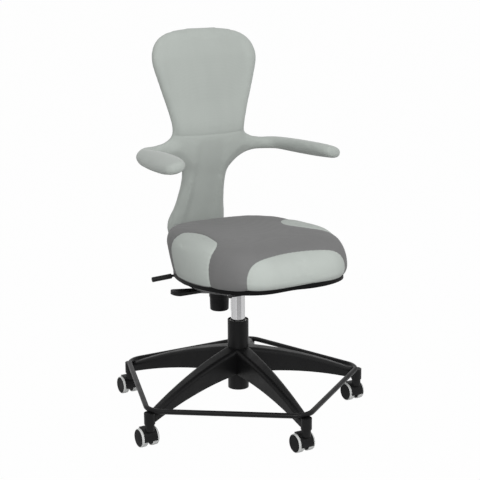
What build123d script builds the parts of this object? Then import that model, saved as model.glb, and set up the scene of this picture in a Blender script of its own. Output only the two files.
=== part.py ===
"""A drafting chair: five-legged caster base with a foot ring, gas lift, tilting seat and a
violin-shaped upholstered back whose arms are one piece with it.

Millimetres. The origin is on the floor under the column, +Z is up, the sitter faces -Y and
+X is the sitter's left.
"""
from build123d import *
import os
from math import cos, hypot, radians, sin, tan

# ---------------------------------------------------------------- fits
shaft_gap = 0.06        # radial play of a shaft that turns in its bore
press_gap = 0.02        # radial play of a pin that is pressed or glued in
body_gap = 0.3          # play between neighbours that move apart

# ---------------------------------------------------------------- seat height
seat_height = 421.0         # top of the trim band over the column; what the lift carries follows it


def over_seat(*points):
    """Points whose last number is a height over the seat, changed to a height over the floor."""
    return tuple((*point[:-1], seat_height + point[-1]) for point in points)


# ---------------------------------------------------------------- base
leg_count = 5
first_leg_angle = -90.0     # one leg points straight forward
caster_circle_radius = 345.0
leg_root_top = 196.0
leg_root_bottom = 122.0
leg_tip_top = 97.0
leg_tip_bottom = 72.5
leg_arch = 14.0             # rise of the leg's curve over its chord
leg_root_width = 52.0
leg_tip_width = 27.0
leg_edge_radius = 11.0
hub_radius = 34.0
socket_radius = 14.5
socket_bottom = 67.0
socket_edge_radius = 3.0

ring_tube_radius = 7.0
ring_tube_wall = 1.5
ring_corner_reach = 5.0     # sharp corners of the pentagon beyond the caster stems
ring_corner_circle = caster_circle_radius + ring_corner_reach
ring_bend_radius = 50.0
stud_radius = 3.0
ring_saddle_depth = 1.2     # how deep the tube lies in the leg ends
stud_depth = 8.0            # how far each stud goes into the leg end

# ---------------------------------------------------------------- casters
wheel_radius = 25.0
wheel_trail = 19.0          # wheel axle behind the stem
tread_thickness = 3.4
wheel_inner_face = 7.3
tread_width = 16.6
tread_shoulder = 2.0
cap_thickness = 1.6
cap_overlap = 1.1           # cap radius over the rim radius
axle_radius = 3.0
axle_length = 42.0
stem_radius = 5.4
stem_bottom = 48.0
stem_socket_depth = 18.0
fender_gap = 1.2
fender_wall = 3.0
fender_width = 37.0
fender_start = 72.0         # degrees about the axle, from straight behind
fender_end = 214.0
web_width = 13.4
neck_radius = 12.3

# ---------------------------------------------------------------- column
stand_radius = 29.0
stand_wall = 2.0
stand_bottom = 73.0
stand_top = 270.0
stand_floor = 3.0
bush_top_drop = 4.0
bush_length = 88.0
chrome_radius = 19.7
chrome_wall = 1.5
chrome_bottom = 150.0
chrome_top_drop = 68.0
chrome_top = seat_height - chrome_top_drop
plug_thickness = 10.0
gland_thickness = 14.0
rod_radius = 5.0
rod_bottom = 65.0
piston_bottom = 272.0
piston_height = 12.0
shoulder_radius = 9.5
shoulder_height = 3.5
race_inner_radius = 5.6
race_outer_radius = 12.0
race_thickness = 2.0
ball_radius = 2.2
ball_count = 9
washer_radius = 14.5
washer_thickness = 3.0
clip_radius = 8.5
clip_thickness = 1.5
groove_depth = 0.9
release_pin_radius = 2.9
release_pin_height = 6.0    # above the plug

# ---------------------------------------------------------------- mechanism
housing_half_width = 58.0
housing_wall = 3.0
housing_front = -78.0
housing_rear = 136.0
housing_bottom_drop = 79.0
housing_bottom = seat_height - housing_bottom_drop
housing_knee = 30.0         # the floor starts to fall away behind here
housing_rear_bottom_drop = 104.0
housing_rear_bottom = seat_height - housing_rear_bottom_drop
housing_front_top_drop = 37.0
housing_front_top = seat_height - housing_front_top_drop
housing_rear_top_drop = 73.0
housing_rear_top = seat_height - housing_rear_top_drop
housing_corner_radius = 12.0
collar_radius = 22.0
collar_bottom_drop = 86.0
collar_bottom = seat_height - collar_bottom_drop
collar_top_drop = 70.0
collar_top = seat_height - collar_top_drop
collar_flange_radius = 27.0
collar_flange_thickness = 3.0
pivot_pin_radius = 5.0
pivot_pin_overhang = 9.0    # pin beyond the housing's side
seat_pivot_y = -60.0
seat_pivot_height_drop = 55.0
seat_pivot_z = seat_height - seat_pivot_height_drop
back_pivot_y = 35.0
back_pivot_height_drop = 61.0
back_pivot_z = seat_height - back_pivot_height_drop
spring_y = 105.0
cup_radius = 29.0
cup_bottom_drop = 111.0
cup_bottom = seat_height - cup_bottom_drop
spring_radius = 17.0
spring_wire_radius = 2.2
spring_turns = 5.0
knob_radius = 27.5
knob_height = 38.0
knob_foot_radius = 26.3
knob_edge_radius = 4.0
knob_grooves = 24
knob_groove_radius = 0.9
tension_screw_radius = 4.0
tension_screw_top_drop = 93.0
tension_screw_top = seat_height - tension_screw_top_drop

lever_pivot_x = -36.0
lever_pin_radius = 3.0
lever_thickness = 6.0
lever_width = 14.0
lever_paddle_width = 30.0
lever_paddle_length = 92.0
lever_reach = 213.0         # from the release pin to the tip
lever_swing = 5.0          # degrees the lever points forward of straight sideways
lever_rise = 4.6            # degrees the lever climbs outwards
lever_lift = 0.4            # rest gap above the release pin

# ---------------------------------------------------------------- seat
seat_tilt = 4.0             # degrees, rear lower
seat_front = -320.0
seat_rear = 174.0
seat_half_width = 201.0
seat_widest_y = -100.0
seat_front_corner = (157.0, -277.0)
seat_front_flank = (190.0, -198.0)
seat_rear_flank = (182.0, 20.0)
seat_rear_corner = (136.0, 112.0)
seat_tail = (80.0, 160.0)
trim_height = 12.0
trim_wall = 3.0
pan_depth = 37.0            # below the top of the trim band
pan_floor_half_width = 155.0
pan_floor_front = -190.0
pan_floor_rear = 140.0
channel_height = 10.0       # room for the height lever under the pan
channel_width = 48.0
channel_inner = 84.0
channel_length = 120.0
channel_y = -13.0
board_thickness = 8.0
board_gap = 0.5
cushion_top = over_seat(
    (seat_rear + 12.0, 57.0),
    (140.0, 90.0),
    (20.0, 102.0),
    (-160.0, 100.0),
    (-272.0, 84.0),
    (seat_front - 12.0, 41.0),
)
cushion_bulge = 7.0
cushion_edge_radius = 14.0
plate_half_width = 75.0
plate_front = -78.0
plate_rear = 118.0
plate_thickness = 3.0
ear_thickness = 3.0
ear_width = 26.0
bolt_radius = 4.0
bolt_head_radius = 6.5
bolt_head_height = 4.0
bolt_spacing_x = 98.0
bolt_spacing_y = 130.0
bolt_centre_y = 20.0

tilt_root = over_seat((-78.0, 92.0, -55.0))[0]
tilt_rod_radius = 3.5
tilt_bend_radius = 14.0
tilt_route = over_seat((-112.0, 97.0, -53.0), (-140.0, 105.0, -31.0), (-200.0, 116.0, -37.0))
tilt_grip_radius = 7.0
tilt_grip_length = 56.0
tilt_bracket_thickness = 4.0
tilt_bracket_width = 12.0

# ---------------------------------------------------------------- back
# Stations of the upholstered back: height over the seat, half width, middle of the thickness, thickness.
back_stations = (
    (25.0, 52.0, 247.0, 34.0),
    (41.0, 80.0, 248.0, 52.0),
    (84.0, 90.0, 240.0, 60.0),
    (139.0, 76.0, 220.0, 60.0),
    (204.0, 68.0, 199.0, 56.0),
    (269.0, 84.0, 177.0, 50.0),
    (324.0, 116.0, 163.0, 46.0),
    (369.0, 118.0, 160.0, 46.0),
    (429.0, 128.0, 163.0, 48.0),
    (489.0, 145.0, 168.0, 50.0),
    (554.0, 160.0, 172.0, 50.0),
    (599.0, 149.0, 177.0, 46.0),
    (620.0, 124.0, 180.0, 38.0),
    (634.0, 78.0, 182.0, 22.0),
)
# Stations of an arm: middle point with its height over the seat, width across, thickness,
# roll of the outer edge downwards.
arm_stations = (
    ((90.0, 164.0, 313.0), 44.0, 40.0, 0.0),
    ((146.0, 163.0, 311.0), 34.0, 30.0, 0.0),
    ((194.0, 148.0, 309.0), 42.0, 30.0, 6.0),
    ((217.0, 106.0, 307.0), 60.0, 31.0, 16.0),
    ((225.0, 40.0, 306.0), 76.0, 32.0, 22.0),
    ((230.0, -30.0, 307.0), 76.0, 32.0, 22.0),
    ((236.0, -88.0, 310.0), 60.0, 31.0, 18.0),
    ((239.0, -118.0, 312.0), 28.0, 18.0, 12.0),
)
spine_plate_route = over_seat((233.0, 47.0), (212.0, 133.0), (163.0, 324.0), (165.0, 479.0), (176.0, 564.0))
spine_plate_bend = 110.0
spine_plate_width = 70.0
spine_plate_thickness = 5.0
arm_rod_radius = 5.0
arm_rod_bend = 38.0
arm_rod_route = over_seat(
    (146.0, 163.0, 311.0),
    (212.0, 130.0, 308.0),
    (224.0, 10.0, 304.0),
    (233.0, -78.0, 308.0),
)
bar_width = 50.0
bar_thickness = 8.0
bar_bend_radius = 30.0
bar_eye_radius = 9.0
bar_rise = 86.0             # how far the bar runs up behind the spine plate
back_bolt_radius = 3.0
back_bolt_head_radius = 5.0
back_bolt_head_height = 3.5
back_bolt_spacing = 26.0
back_bolt_rise = 40.0

os.makedirs("parts", exist_ok=True)


def write(part, name):
    """Label a finished piece and write it as parts/NAME.step."""
    part.label = name
    export_step(part, f"parts/{name}.step")


# ================================================================ base
leg_length = caster_circle_radius - socket_radius / 2
leg_middle = leg_length / 2

with BuildPart() as leg:
    with BuildSketch(Plane.XZ):
        with BuildLine():
            top_middle = (leg_root_top + leg_tip_top) / 2 + leg_arch
            bottom_middle = (leg_root_bottom + leg_tip_bottom) / 2 + leg_arch
            ThreePointArc((0, leg_root_top), (leg_middle, top_middle), (leg_length, leg_tip_top))
            Line((leg_length, leg_tip_top), (leg_length, leg_tip_bottom))
            ThreePointArc((leg_length, leg_tip_bottom), (leg_middle, bottom_middle), (0, leg_root_bottom))
            Line((0, leg_root_bottom), (0, leg_root_top))
        make_face()
    extrude(amount=leg_root_width, both=True)
    with BuildSketch(Plane.XY):
        with BuildLine():
            Polyline(
                (0, leg_root_width / 2),
                (leg_length, leg_tip_width / 2),
                (leg_length, -leg_tip_width / 2),
                (0, -leg_root_width / 2),
                close=True,
            )
        make_face()
    extrude(amount=2 * leg_root_top, mode=Mode.INTERSECT)
    long_edges = [
        edge
        for edge in leg.edges()
        if edge.length > leg_middle and edge.center().Z > (top_middle + bottom_middle) / 2
    ]
    fillet(long_edges, leg_edge_radius)

stem_socket_top = socket_bottom + stem_socket_depth
ring_corner_inset = ring_bend_radius * (1 / sin(radians(90 - 180 / leg_count)) - 1)
ring_corner_reach = ring_corner_circle - ring_corner_inset
ring_height = leg_tip_top + ring_tube_radius - ring_saddle_depth
ring_corners = [
    (
        ring_corner_circle * cos(radians(first_leg_angle + 360 * i / leg_count)),
        ring_corner_circle * sin(radians(first_leg_angle + 360 * i / leg_count)),
        ring_height,
    )
    for i in range(leg_count)
]

with BuildPart() as ring_saddle:
    with BuildLine() as ring_path:
        FilletPolyline(*ring_corners, radius=ring_bend_radius, close=True)
    with BuildSketch(Plane(origin=ring_path.line @ 0, z_dir=ring_path.line % 0)):
        Circle(ring_tube_radius + press_gap)
    sweep()

with BuildPart() as base_casting:
    with Locations((0, 0, leg_root_bottom - 4)):
        Cylinder(hub_radius, leg_root_top - leg_root_bottom - 4, align=(Align.CENTER, Align.CENTER, Align.MIN))
    with PolarLocations(0, leg_count, start_angle=first_leg_angle):
        add(leg.part)
    with PolarLocations(caster_circle_radius, leg_count, start_angle=first_leg_angle):
        with Locations((0, 0, socket_bottom)):
            Cylinder(socket_radius, leg_tip_top - socket_bottom, align=(Align.CENTER, Align.CENTER, Align.MIN))
            Cylinder(
                stem_radius + shaft_gap,
                stem_socket_depth,
                align=(Align.CENTER, Align.CENTER, Align.MIN),
                mode=Mode.SUBTRACT,
            )
    with PolarLocations(ring_corner_reach, leg_count, start_angle=first_leg_angle):
        with Locations((0, 0, leg_tip_top)):
            Hole(stud_radius + press_gap, stud_depth)
    Cylinder(stand_radius + press_gap, 3 * leg_root_top, mode=Mode.SUBTRACT)
    add(ring_saddle.part, mode=Mode.SUBTRACT)
write(base_casting.part, "base_casting")

with BuildPart() as foot_ring:
    with BuildLine():
        add(ring_path.line)
    with BuildSketch(Plane(origin=ring_path.line @ 0, z_dir=ring_path.line % 0)):
        Circle(ring_tube_radius)
        Circle(ring_tube_radius - ring_tube_wall, mode=Mode.SUBTRACT)
    sweep()
    with PolarLocations(ring_corner_reach, leg_count, start_angle=first_leg_angle):
        with Locations((0, 0, ring_height)):
            Cylinder(
                stud_radius + press_gap,
                2 * ring_tube_radius,
                align=(Align.CENTER, Align.CENTER, Align.MAX),
                mode=Mode.SUBTRACT,
            )
write(foot_ring.part, "foot_ring")

with BuildPart() as ring_studs:
    with PolarLocations(ring_corner_reach, leg_count, start_angle=first_leg_angle):
        with Locations((0, 0, leg_tip_top - stud_depth + press_gap)):
            Cylinder(stud_radius, stud_depth + ring_tube_radius, align=(Align.CENTER, Align.CENTER, Align.MIN))
write(ring_studs.part, "ring_studs")

# ================================================================ casters
axle_y = wheel_trail
axle_z = wheel_radius
fender_inner = wheel_radius + fender_gap
fender_outer = fender_inner + fender_wall
wheel_outer_face = wheel_inner_face + tread_width
rim_radius = wheel_radius - tread_thickness
neck_top = socket_bottom - body_gap

with BuildPart() as hood:
    with BuildSketch(Plane.YZ):
        with BuildLine():
            outer = CenterArc((axle_y, axle_z), fender_outer, fender_start, fender_end - fender_start)
            inner = CenterArc((axle_y, axle_z), fender_inner, fender_start, fender_end - fender_start)
            Line(outer @ 0, inner @ 0)
            Line(outer @ 1, inner @ 1)
        make_face()
    extrude(amount=fender_width / 2, both=True)
    with BuildSketch(Plane.YZ):
        with BuildLine():
            rim = CenterArc((axle_y, axle_z), fender_inner + 1, fender_start, fender_end - fender_start)
            Line(rim @ 0, (axle_y, axle_z))
            Line(rim @ 1, (axle_y, axle_z))
        make_face()
        with Locations((axle_y, axle_z)):
            Circle(3 * axle_radius)
    extrude(amount=web_width / 2, both=True)
    with BuildSketch(Plane.XY.offset(neck_top)):
        Circle(neck_radius)
    extrude(amount=-(neck_top - stem_bottom))
    with BuildSketch(Plane.YZ):
        with Locations((axle_y, axle_z)):
            Circle(axle_radius + press_gap)
    extrude(amount=fender_width, both=True, mode=Mode.SUBTRACT)
    with BuildSketch(Plane.XY.offset(neck_top)):
        Circle(stem_radius + press_gap)
    extrude(amount=-(neck_top - stem_bottom), mode=Mode.SUBTRACT)
    for side in (1, -1):
        with BuildSketch(Plane.YZ.offset(side * web_width / 2)):
            with Locations((axle_y, axle_z)):
                Circle(fender_inner)
        extrude(amount=side * fender_width, mode=Mode.SUBTRACT)

with BuildPart() as pins:
    with BuildSketch(Plane.XY.offset(stem_bottom + press_gap)):
        Circle(stem_radius)
    extrude(amount=stem_socket_top - 1 - stem_bottom)
    with BuildSketch(Plane.YZ):
        with Locations((axle_y, axle_z)):
            Circle(axle_radius)
    extrude(amount=axle_length / 2, both=True)

wheels = {}
treads = {}
for name, side in (("left", 1), ("right", -1)):
    with BuildPart() as wheel:
        with BuildSketch(Plane.YZ.offset(side * wheel_inner_face)):
            with Locations((axle_y, axle_z)):
                Circle(rim_radius)
        extrude(amount=side * tread_width)
        with BuildSketch(Plane.YZ.offset(side * wheel_outer_face)):
            with Locations((axle_y, axle_z)):
                Circle(rim_radius + cap_overlap)
        extrude(amount=side * cap_thickness)
        outer_rim = wheel.edges().filter_by(GeomType.CIRCLE).sort_by(Axis.X)
        fillet(outer_rim[-1] if side > 0 else outer_rim[0], cap_thickness / 2)
        with BuildSketch(Plane.YZ.offset(side * (axle_length / 2 + body_gap))):
            with Locations((axle_y, axle_z)):
                Circle(axle_radius + shaft_gap)
        extrude(amount=-side * axle_length / 2, mode=Mode.SUBTRACT)
    wheels[name] = wheel.part
    with BuildPart() as tread:
        with BuildSketch(Plane.YZ.offset(side * wheel_inner_face)):
            with Locations((axle_y, axle_z)):
                Circle(wheel_radius)
        extrude(amount=side * (tread_width - press_gap))
        fillet(tread.edges().filter_by(GeomType.CIRCLE), tread_shoulder)
        with BuildSketch(Plane.YZ.offset(side * wheel_inner_face)):
            with Locations((axle_y, axle_z)):
                Circle(rim_radius + press_gap)
        extrude(amount=side * tread_width, mode=Mode.SUBTRACT)
    treads[name] = tread.part

for i in range(leg_count):
    angle = radians(first_leg_angle + 360 * i / leg_count)
    stem_place = (caster_circle_radius * cos(angle), caster_circle_radius * sin(angle), 0)
    pieces = {
        "hood": hood.part,
        "pins": pins.part,
        "wheel_left": wheels["left"],
        "tread_left": treads["left"],
        "wheel_right": wheels["right"],
        "tread_right": treads["right"],
    }
    for name, piece in pieces.items():
        with BuildPart() as placed:
            with Locations(stem_place):
                add(piece)
        write(placed.part, f"caster_{i + 1}_{name}")

# ================================================================ column
stand_bore = stand_radius - stand_wall

with BuildPart() as stand_tube:
    with BuildSketch(Plane.XY.offset(stand_bottom)):
        Circle(stand_radius)
    extrude(amount=stand_top - stand_bottom)
    with BuildSketch(Plane.XY.offset(stand_bottom + stand_floor)):
        Circle(stand_bore)
    extrude(amount=stand_top - stand_bottom, mode=Mode.SUBTRACT)
    with BuildSketch(Plane.XY.offset(stand_bottom)):
        Circle(rod_radius + shaft_gap)
    extrude(amount=stand_floor, mode=Mode.SUBTRACT)
    fillet(stand_tube.edges().group_by(Axis.Z)[-1], stand_wall / 3)
write(stand_tube.part, "stand_tube")

with BuildPart() as guide_bush:
    with BuildSketch(Plane.XY.offset(stand_top - bush_top_drop)):
        Circle(stand_bore - press_gap)
        Circle(chrome_radius + shaft_gap, mode=Mode.SUBTRACT)
    extrude(amount=-bush_length)
write(guide_bush.part, "guide_bush")

race_bottom = stand_bottom + stand_floor + press_gap
ball_height = race_bottom + race_thickness + ball_radius + press_gap
upper_race = ball_height + ball_radius + press_gap

with BuildPart() as thrust_bearing:
    for height in (race_bottom, upper_race):
        with BuildSketch(Plane.XY.offset(height)):
            Circle(race_outer_radius)
            Circle(race_inner_radius, mode=Mode.SUBTRACT)
        extrude(amount=race_thickness)
    with PolarLocations((race_inner_radius + race_outer_radius) / 2, ball_count):
        with Locations((0, 0, ball_height)):
            Sphere(ball_radius)
write(thrust_bearing.part, "thrust_bearing")

shoulder_bottom = upper_race + race_thickness + shaft_gap
cavity_radius = chrome_radius - chrome_wall
washer_top = stand_bottom - shaft_gap
clip_top = washer_top - washer_thickness - press_gap

with BuildPart() as piston_rod:
    with BuildSketch(Plane.XY.offset(rod_bottom)):
        Circle(rod_radius)
    extrude(amount=piston_bottom - rod_bottom)
    with BuildSketch(Plane.XY.offset(shoulder_bottom)):
        Circle(shoulder_radius)
    extrude(amount=shoulder_height)
    with BuildSketch(Plane.XY.offset(piston_bottom)):
        Circle(cavity_radius - shaft_gap)
    extrude(amount=piston_height)
    with BuildSketch(Plane.XY.offset(clip_top)):
        Circle(rod_radius)
        Circle(rod_radius - groove_depth, mode=Mode.SUBTRACT)
    extrude(amount=-clip_thickness, mode=Mode.SUBTRACT)
write(piston_rod.part, "piston_rod")

with BuildPart() as retaining_clip:
    with BuildSketch(Plane.XY.offset(washer_top)):
        Circle(washer_radius)
        Circle(rod_radius + press_gap, mode=Mode.SUBTRACT)
    extrude(amount=-washer_thickness)
    with BuildSketch(Plane.XY.offset(clip_top - press_gap)):
        Circle(clip_radius)
        Circle(rod_radius - groove_depth + press_gap, mode=Mode.SUBTRACT)
    extrude(amount=-(clip_thickness - 2 * press_gap))
write(retaining_clip.part, "retaining_clip")

with BuildPart() as pressure_tube:
    with BuildSketch(Plane.XY.offset(chrome_bottom)):
        Circle(chrome_radius)
    extrude(amount=chrome_top - chrome_bottom)
    with BuildSketch(Plane.XY.offset(chrome_bottom)):
        Circle(cavity_radius)
    extrude(amount=chrome_top - chrome_bottom - plug_thickness, mode=Mode.SUBTRACT)
    with BuildSketch(Plane.XY.offset(chrome_top)):
        Circle(release_pin_radius + shaft_gap)
    extrude(amount=-plug_thickness, mode=Mode.SUBTRACT)
write(pressure_tube.part, "pressure_tube")

with BuildPart() as rod_gland:
    with BuildSketch(Plane.XY.offset(chrome_bottom + 1)):
        Circle(cavity_radius - press_gap)
        Circle(rod_radius + shaft_gap, mode=Mode.SUBTRACT)
    extrude(amount=gland_thickness)
write(rod_gland.part, "rod_gland")

release_pin_top = chrome_top + release_pin_height
with BuildPart() as release_pin:
    with BuildSketch(Plane.XY.offset(release_pin_top)):
        Circle(release_pin_radius)
    extrude(amount=-(release_pin_height + plug_thickness + 4))
write(release_pin.part, "release_pin")

# ================================================================ mechanism

def side_profile(inset, over):
    """Side outline of the housing, drawn in from its walls and raised over its open top."""
    return (
        (housing_front + inset, housing_bottom + inset),
        (housing_knee, housing_bottom + inset),
        (housing_rear - inset, housing_rear_bottom + inset),
        (housing_rear - inset, housing_rear_top + over),
        (housing_front + inset, housing_front_top + over),
    )


lever_axis_z = release_pin_top + lever_lift + lever_thickness / 2 - lever_pivot_x * tan(radians(lever_rise))
lever_wall_y = -housing_half_width * tan(radians(lever_swing))
lever_notch_half = lever_width / 2 + 4
lever_notch_floor = lever_axis_z - lever_thickness / 2 - 4

with BuildPart() as mechanism_housing:
    with BuildSketch(Plane.YZ):
        with BuildLine():
            Polyline(*side_profile(0, 0), close=True)
        make_face()
    extrude(amount=housing_half_width, both=True)
    outer_corners = mechanism_housing.edges().filter_by(Axis.Z)
    floor_edges = [
        edge
        for edge in mechanism_housing.edges()
        if abs(abs(edge.center().X) - housing_half_width) < 1 and edge.center().Z < housing_rear_top - 6
        and abs(edge.tangent_at(0.5).Z) < 0.5
    ]
    fillet(outer_corners + floor_edges, housing_corner_radius)
    with BuildSketch(Plane.YZ):
        with BuildLine():
            Polyline(*side_profile(housing_wall, 20), close=True)
        make_face()
    cavity = extrude(amount=housing_half_width - housing_wall, both=True, mode=Mode.PRIVATE)
    cavity_corners = cavity.edges().filter_by(Axis.Z)
    cavity_floor = [
        edge
        for edge in cavity.edges()
        if abs(abs(edge.center().X) - housing_half_width + housing_wall) < 1
        and edge.center().Z < housing_rear_top
        and abs(edge.tangent_at(0.5).Z) < 0.5
    ]
    cavity = cavity.fillet(housing_corner_radius - housing_wall, cavity_corners + cavity_floor)
    add(cavity, mode=Mode.SUBTRACT)
    with Locations((0, spring_y, cup_bottom)):
        Cylinder(cup_radius, housing_bottom - cup_bottom, align=(Align.CENTER, Align.CENTER, Align.MIN))
    with Locations((0, spring_y, cup_bottom + housing_wall)):
        Cylinder(
            cup_radius - housing_wall,
            housing_front_top - cup_bottom,
            align=(Align.CENTER, Align.CENTER, Align.MIN),
            mode=Mode.SUBTRACT,
        )
    add(cavity, mode=Mode.SUBTRACT)
    with Locations((0, spring_y, cup_bottom)):
        Cylinder(tension_screw_radius + shaft_gap, 4 * housing_wall, mode=Mode.SUBTRACT)
    Cylinder(collar_radius + press_gap, 4 * housing_front_top, mode=Mode.SUBTRACT)
    with Locations((0, housing_rear, housing_rear_bottom + 2 * housing_wall)):
        Box(
            bar_width + 8,
            6 * housing_wall,
            60,
            align=(Align.CENTER, Align.CENTER, Align.MIN),
            mode=Mode.SUBTRACT,
        )
    for pin_y, pin_z in ((seat_pivot_y, seat_pivot_z), (back_pivot_y, back_pivot_z)):
        with BuildSketch(Plane.YZ):
            with Locations((pin_y, pin_z)):
                Circle(pivot_pin_radius + press_gap)
        extrude(amount=2 * housing_half_width, both=True, mode=Mode.SUBTRACT)
    with Locations((-housing_half_width, lever_wall_y, lever_notch_floor)):
        Box(
            4 * housing_wall,
            2 * lever_notch_half,
            40,
            align=(Align.CENTER, Align.CENTER, Align.MIN),
            mode=Mode.SUBTRACT,
        )
write(mechanism_housing.part, "mechanism_housing")

collar_flange_bottom = housing_bottom + housing_wall + press_gap
with BuildPart() as lift_collar:
    with BuildSketch(Plane.XY.offset(collar_bottom)):
        Circle(collar_radius)
    extrude(amount=collar_top - collar_bottom)
    with BuildSketch(Plane.XY.offset(collar_flange_bottom)):
        Circle(collar_flange_radius)
    extrude(amount=collar_flange_thickness)
    with BuildSketch(Plane.XY.offset(collar_bottom)):
        Circle(chrome_radius + press_gap)
    extrude(amount=collar_top - collar_bottom, mode=Mode.SUBTRACT)
write(lift_collar.part, "lift_collar")

with BuildPart() as pivot_pins:
    for pin_y, pin_z in ((seat_pivot_y, seat_pivot_z), (back_pivot_y, back_pivot_z)):
        with BuildSketch(Plane.YZ):
            with Locations((pin_y, pin_z)):
                Circle(pivot_pin_radius)
        extrude(amount=housing_half_width + pivot_pin_overhang, both=True)
write(pivot_pins.part, "pivot_pins")

spring_floor = cup_bottom + housing_wall
spring_top = back_pivot_z - bar_thickness / 2
spring_pitch = (spring_top - spring_floor - 2 * spring_wire_radius - 2 * body_gap) / spring_turns

with BuildPart() as tension_spring:
    with BuildLine(Plane((0, spring_y, spring_floor + spring_wire_radius + body_gap))) as coil:
        Helix(spring_pitch, spring_pitch * spring_turns, spring_radius)
    with BuildSketch(Plane(origin=coil.line @ 0, z_dir=coil.line % 0)):
        Circle(spring_wire_radius)
    sweep(is_frenet=True)
write(tension_spring.part, "tension_spring")

knob_top = cup_bottom - 1
with BuildPart() as tension_knob:
    with BuildSketch(Plane.XY.offset(knob_top)):
        with Locations((0, spring_y)):
            Circle(knob_radius)
    with BuildSketch(Plane.XY.offset(knob_top - knob_height)):
        with Locations((0, spring_y)):
            Circle(knob_foot_radius)
    loft()
    fillet(tension_knob.edges().sort_by(Axis.Z)[0], knob_edge_radius)
    with Locations((0, spring_y)):
        with PolarLocations(knob_radius, knob_grooves):
            with Locations((0, 0, knob_top - knob_height)):
                Cylinder(
                    knob_groove_radius,
                    knob_height - 2 * knob_edge_radius,
                    align=(Align.CENTER, Align.CENTER, Align.MIN),
                    mode=Mode.SUBTRACT,
                )
    with BuildSketch(Plane.XY.offset(knob_top)):
        with Locations((0, spring_y)):
            Circle(tension_screw_radius)
    extrude(amount=tension_screw_top - knob_top)
write(tension_knob.part, "tension_knob")

# The height lever lies in a plane that climbs outwards; its own x axis points to the tip.
lever_direction = (
    -cos(radians(lever_swing)) * cos(radians(lever_rise)),
    -sin(radians(lever_swing)) * cos(radians(lever_rise)),
    sin(radians(lever_rise)),
)
lever_plane = Plane(
    origin=(0, 0, release_pin_top + lever_lift),
    x_dir=lever_direction,
    z_dir=(
        cos(radians(lever_swing)) * sin(radians(lever_rise)),
        sin(radians(lever_swing)) * sin(radians(lever_rise)),
        cos(radians(lever_rise)),
    ),
)
with BuildPart() as height_lever:
    with BuildSketch(lever_plane):
        with Locations((lever_reach / 2 - lever_width / 4, 0)):
            Rectangle(lever_reach - lever_width / 2, lever_width)
        Circle(lever_width / 2)
        with Locations((lever_reach - lever_paddle_length / 2, 0)):
            SlotOverall(lever_paddle_length, lever_paddle_width)
    extrude(amount=lever_thickness)
    with BuildSketch(Plane.XZ):
        with Locations((lever_pivot_x, lever_axis_z)):
            Circle(lever_pin_radius + shaft_gap)
    extrude(amount=2 * lever_width, both=True, mode=Mode.SUBTRACT)
write(height_lever.part, "height_lever")

lever_pin_length = 2 * lever_width
lever_pin_y = lever_pivot_x * tan(radians(lever_swing))
lever_post_height = lever_axis_z + lever_pin_radius - housing_bottom - housing_wall - press_gap
with BuildPart() as lever_pin:
    with BuildSketch(Plane.XZ.offset(-lever_pin_y)):
        with Locations((lever_pivot_x, lever_axis_z)):
            Circle(lever_pin_radius)
    extrude(amount=lever_pin_length / 2, both=True)
    for side in (1, -1):
        with Locations((lever_pivot_x, lever_pin_y + side * lever_pin_length / 2, lever_axis_z + lever_pin_radius)):
            Box(
                lever_width / 2,
                housing_wall,
                lever_post_height,
                align=(Align.CENTER, Align.CENTER, Align.MAX),
            )
write(lever_pin.part, "lever_pin")

# ================================================================ seat
# The seat is built in its own tilted plane; its local z = 0 is the top of the trim band.
tilt_sine = sin(radians(seat_tilt))
tilt_cosine = cos(radians(seat_tilt))
seat_normal = (0, tilt_sine, tilt_cosine)


def seat_plane(local_height=0.0):
    """Plane parallel to the trim band, local_height above it."""
    origin = (0, local_height * tilt_sine, seat_height + local_height * tilt_cosine)
    return Plane(origin=origin, x_dir=(1, 0, 0), z_dir=seat_normal)


seat_outline_points = (
    (0, seat_front),
    (seat_front_corner[0] * 0.62, seat_front + 3),
    seat_front_corner,
    seat_front_flank,
    (seat_half_width, seat_widest_y),
    seat_rear_flank,
    seat_rear_corner,
    seat_tail,
    (0, seat_rear),
)
seat_outline_mirror = tuple((-x, y) for x, y in reversed(seat_outline_points[1:-1]))


def outline_points(inset):
    """Points of the seat outline, each moved inwards by inset along its own normal."""
    loop = seat_outline_points + seat_outline_mirror
    moved = []
    for i, (x, y) in enumerate(loop):
        before = loop[i - 1]
        after = loop[(i + 1) % len(loop)]
        run = hypot(after[0] - before[0], after[1] - before[1])
        normal = ((before[1] - after[1]) / run, (after[0] - before[0]) / run)
        moved.append((x + inset * normal[0], y + inset * normal[1]))
    return moved


def seat_outline(inset, local_height):
    """Sketch of the seat outline, drawn in by inset, local_height above the trim band."""
    with BuildSketch(seat_plane(local_height)) as outline:
        with BuildLine():
            Spline(*outline_points(inset), periodic=True)
        make_face()
    return outline.sketch


def floor_outline(inset, local_height):
    """Sketch of the pan's floor: the seat outline drawn in by inset and scaled to the floor's size."""
    across = pan_floor_half_width / seat_half_width
    along = (pan_floor_rear - pan_floor_front) / (seat_rear - seat_front)
    points = [
        (x * across, pan_floor_front + (y - seat_front) * along) for x, y in outline_points(inset)
    ]
    with BuildSketch(seat_plane(local_height)) as outline:
        with BuildLine():
            Spline(*points, periodic=True)
        make_face()
    return outline.sketch


def seat_dish(inset, lift):
    """Solid dish under the trim band, drawn in by inset and raised by lift."""
    with BuildPart() as dish:
        extrude(seat_outline(inset, lift), amount=-trim_height)
        loft([
            seat_outline(inset + trim_wall, lift - trim_height).face(),
            floor_outline(inset, lift - pan_depth).face(),
        ])
    return dish.part


bolt_places = [
    (side * bolt_spacing_x / 2, bolt_centre_y + end * bolt_spacing_y / 2) for side in (-1, 1) for end in (-1, 1)
]
plate_top = -pan_depth - press_gap
board_bottom = trim_wall - trim_height + press_gap


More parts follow.
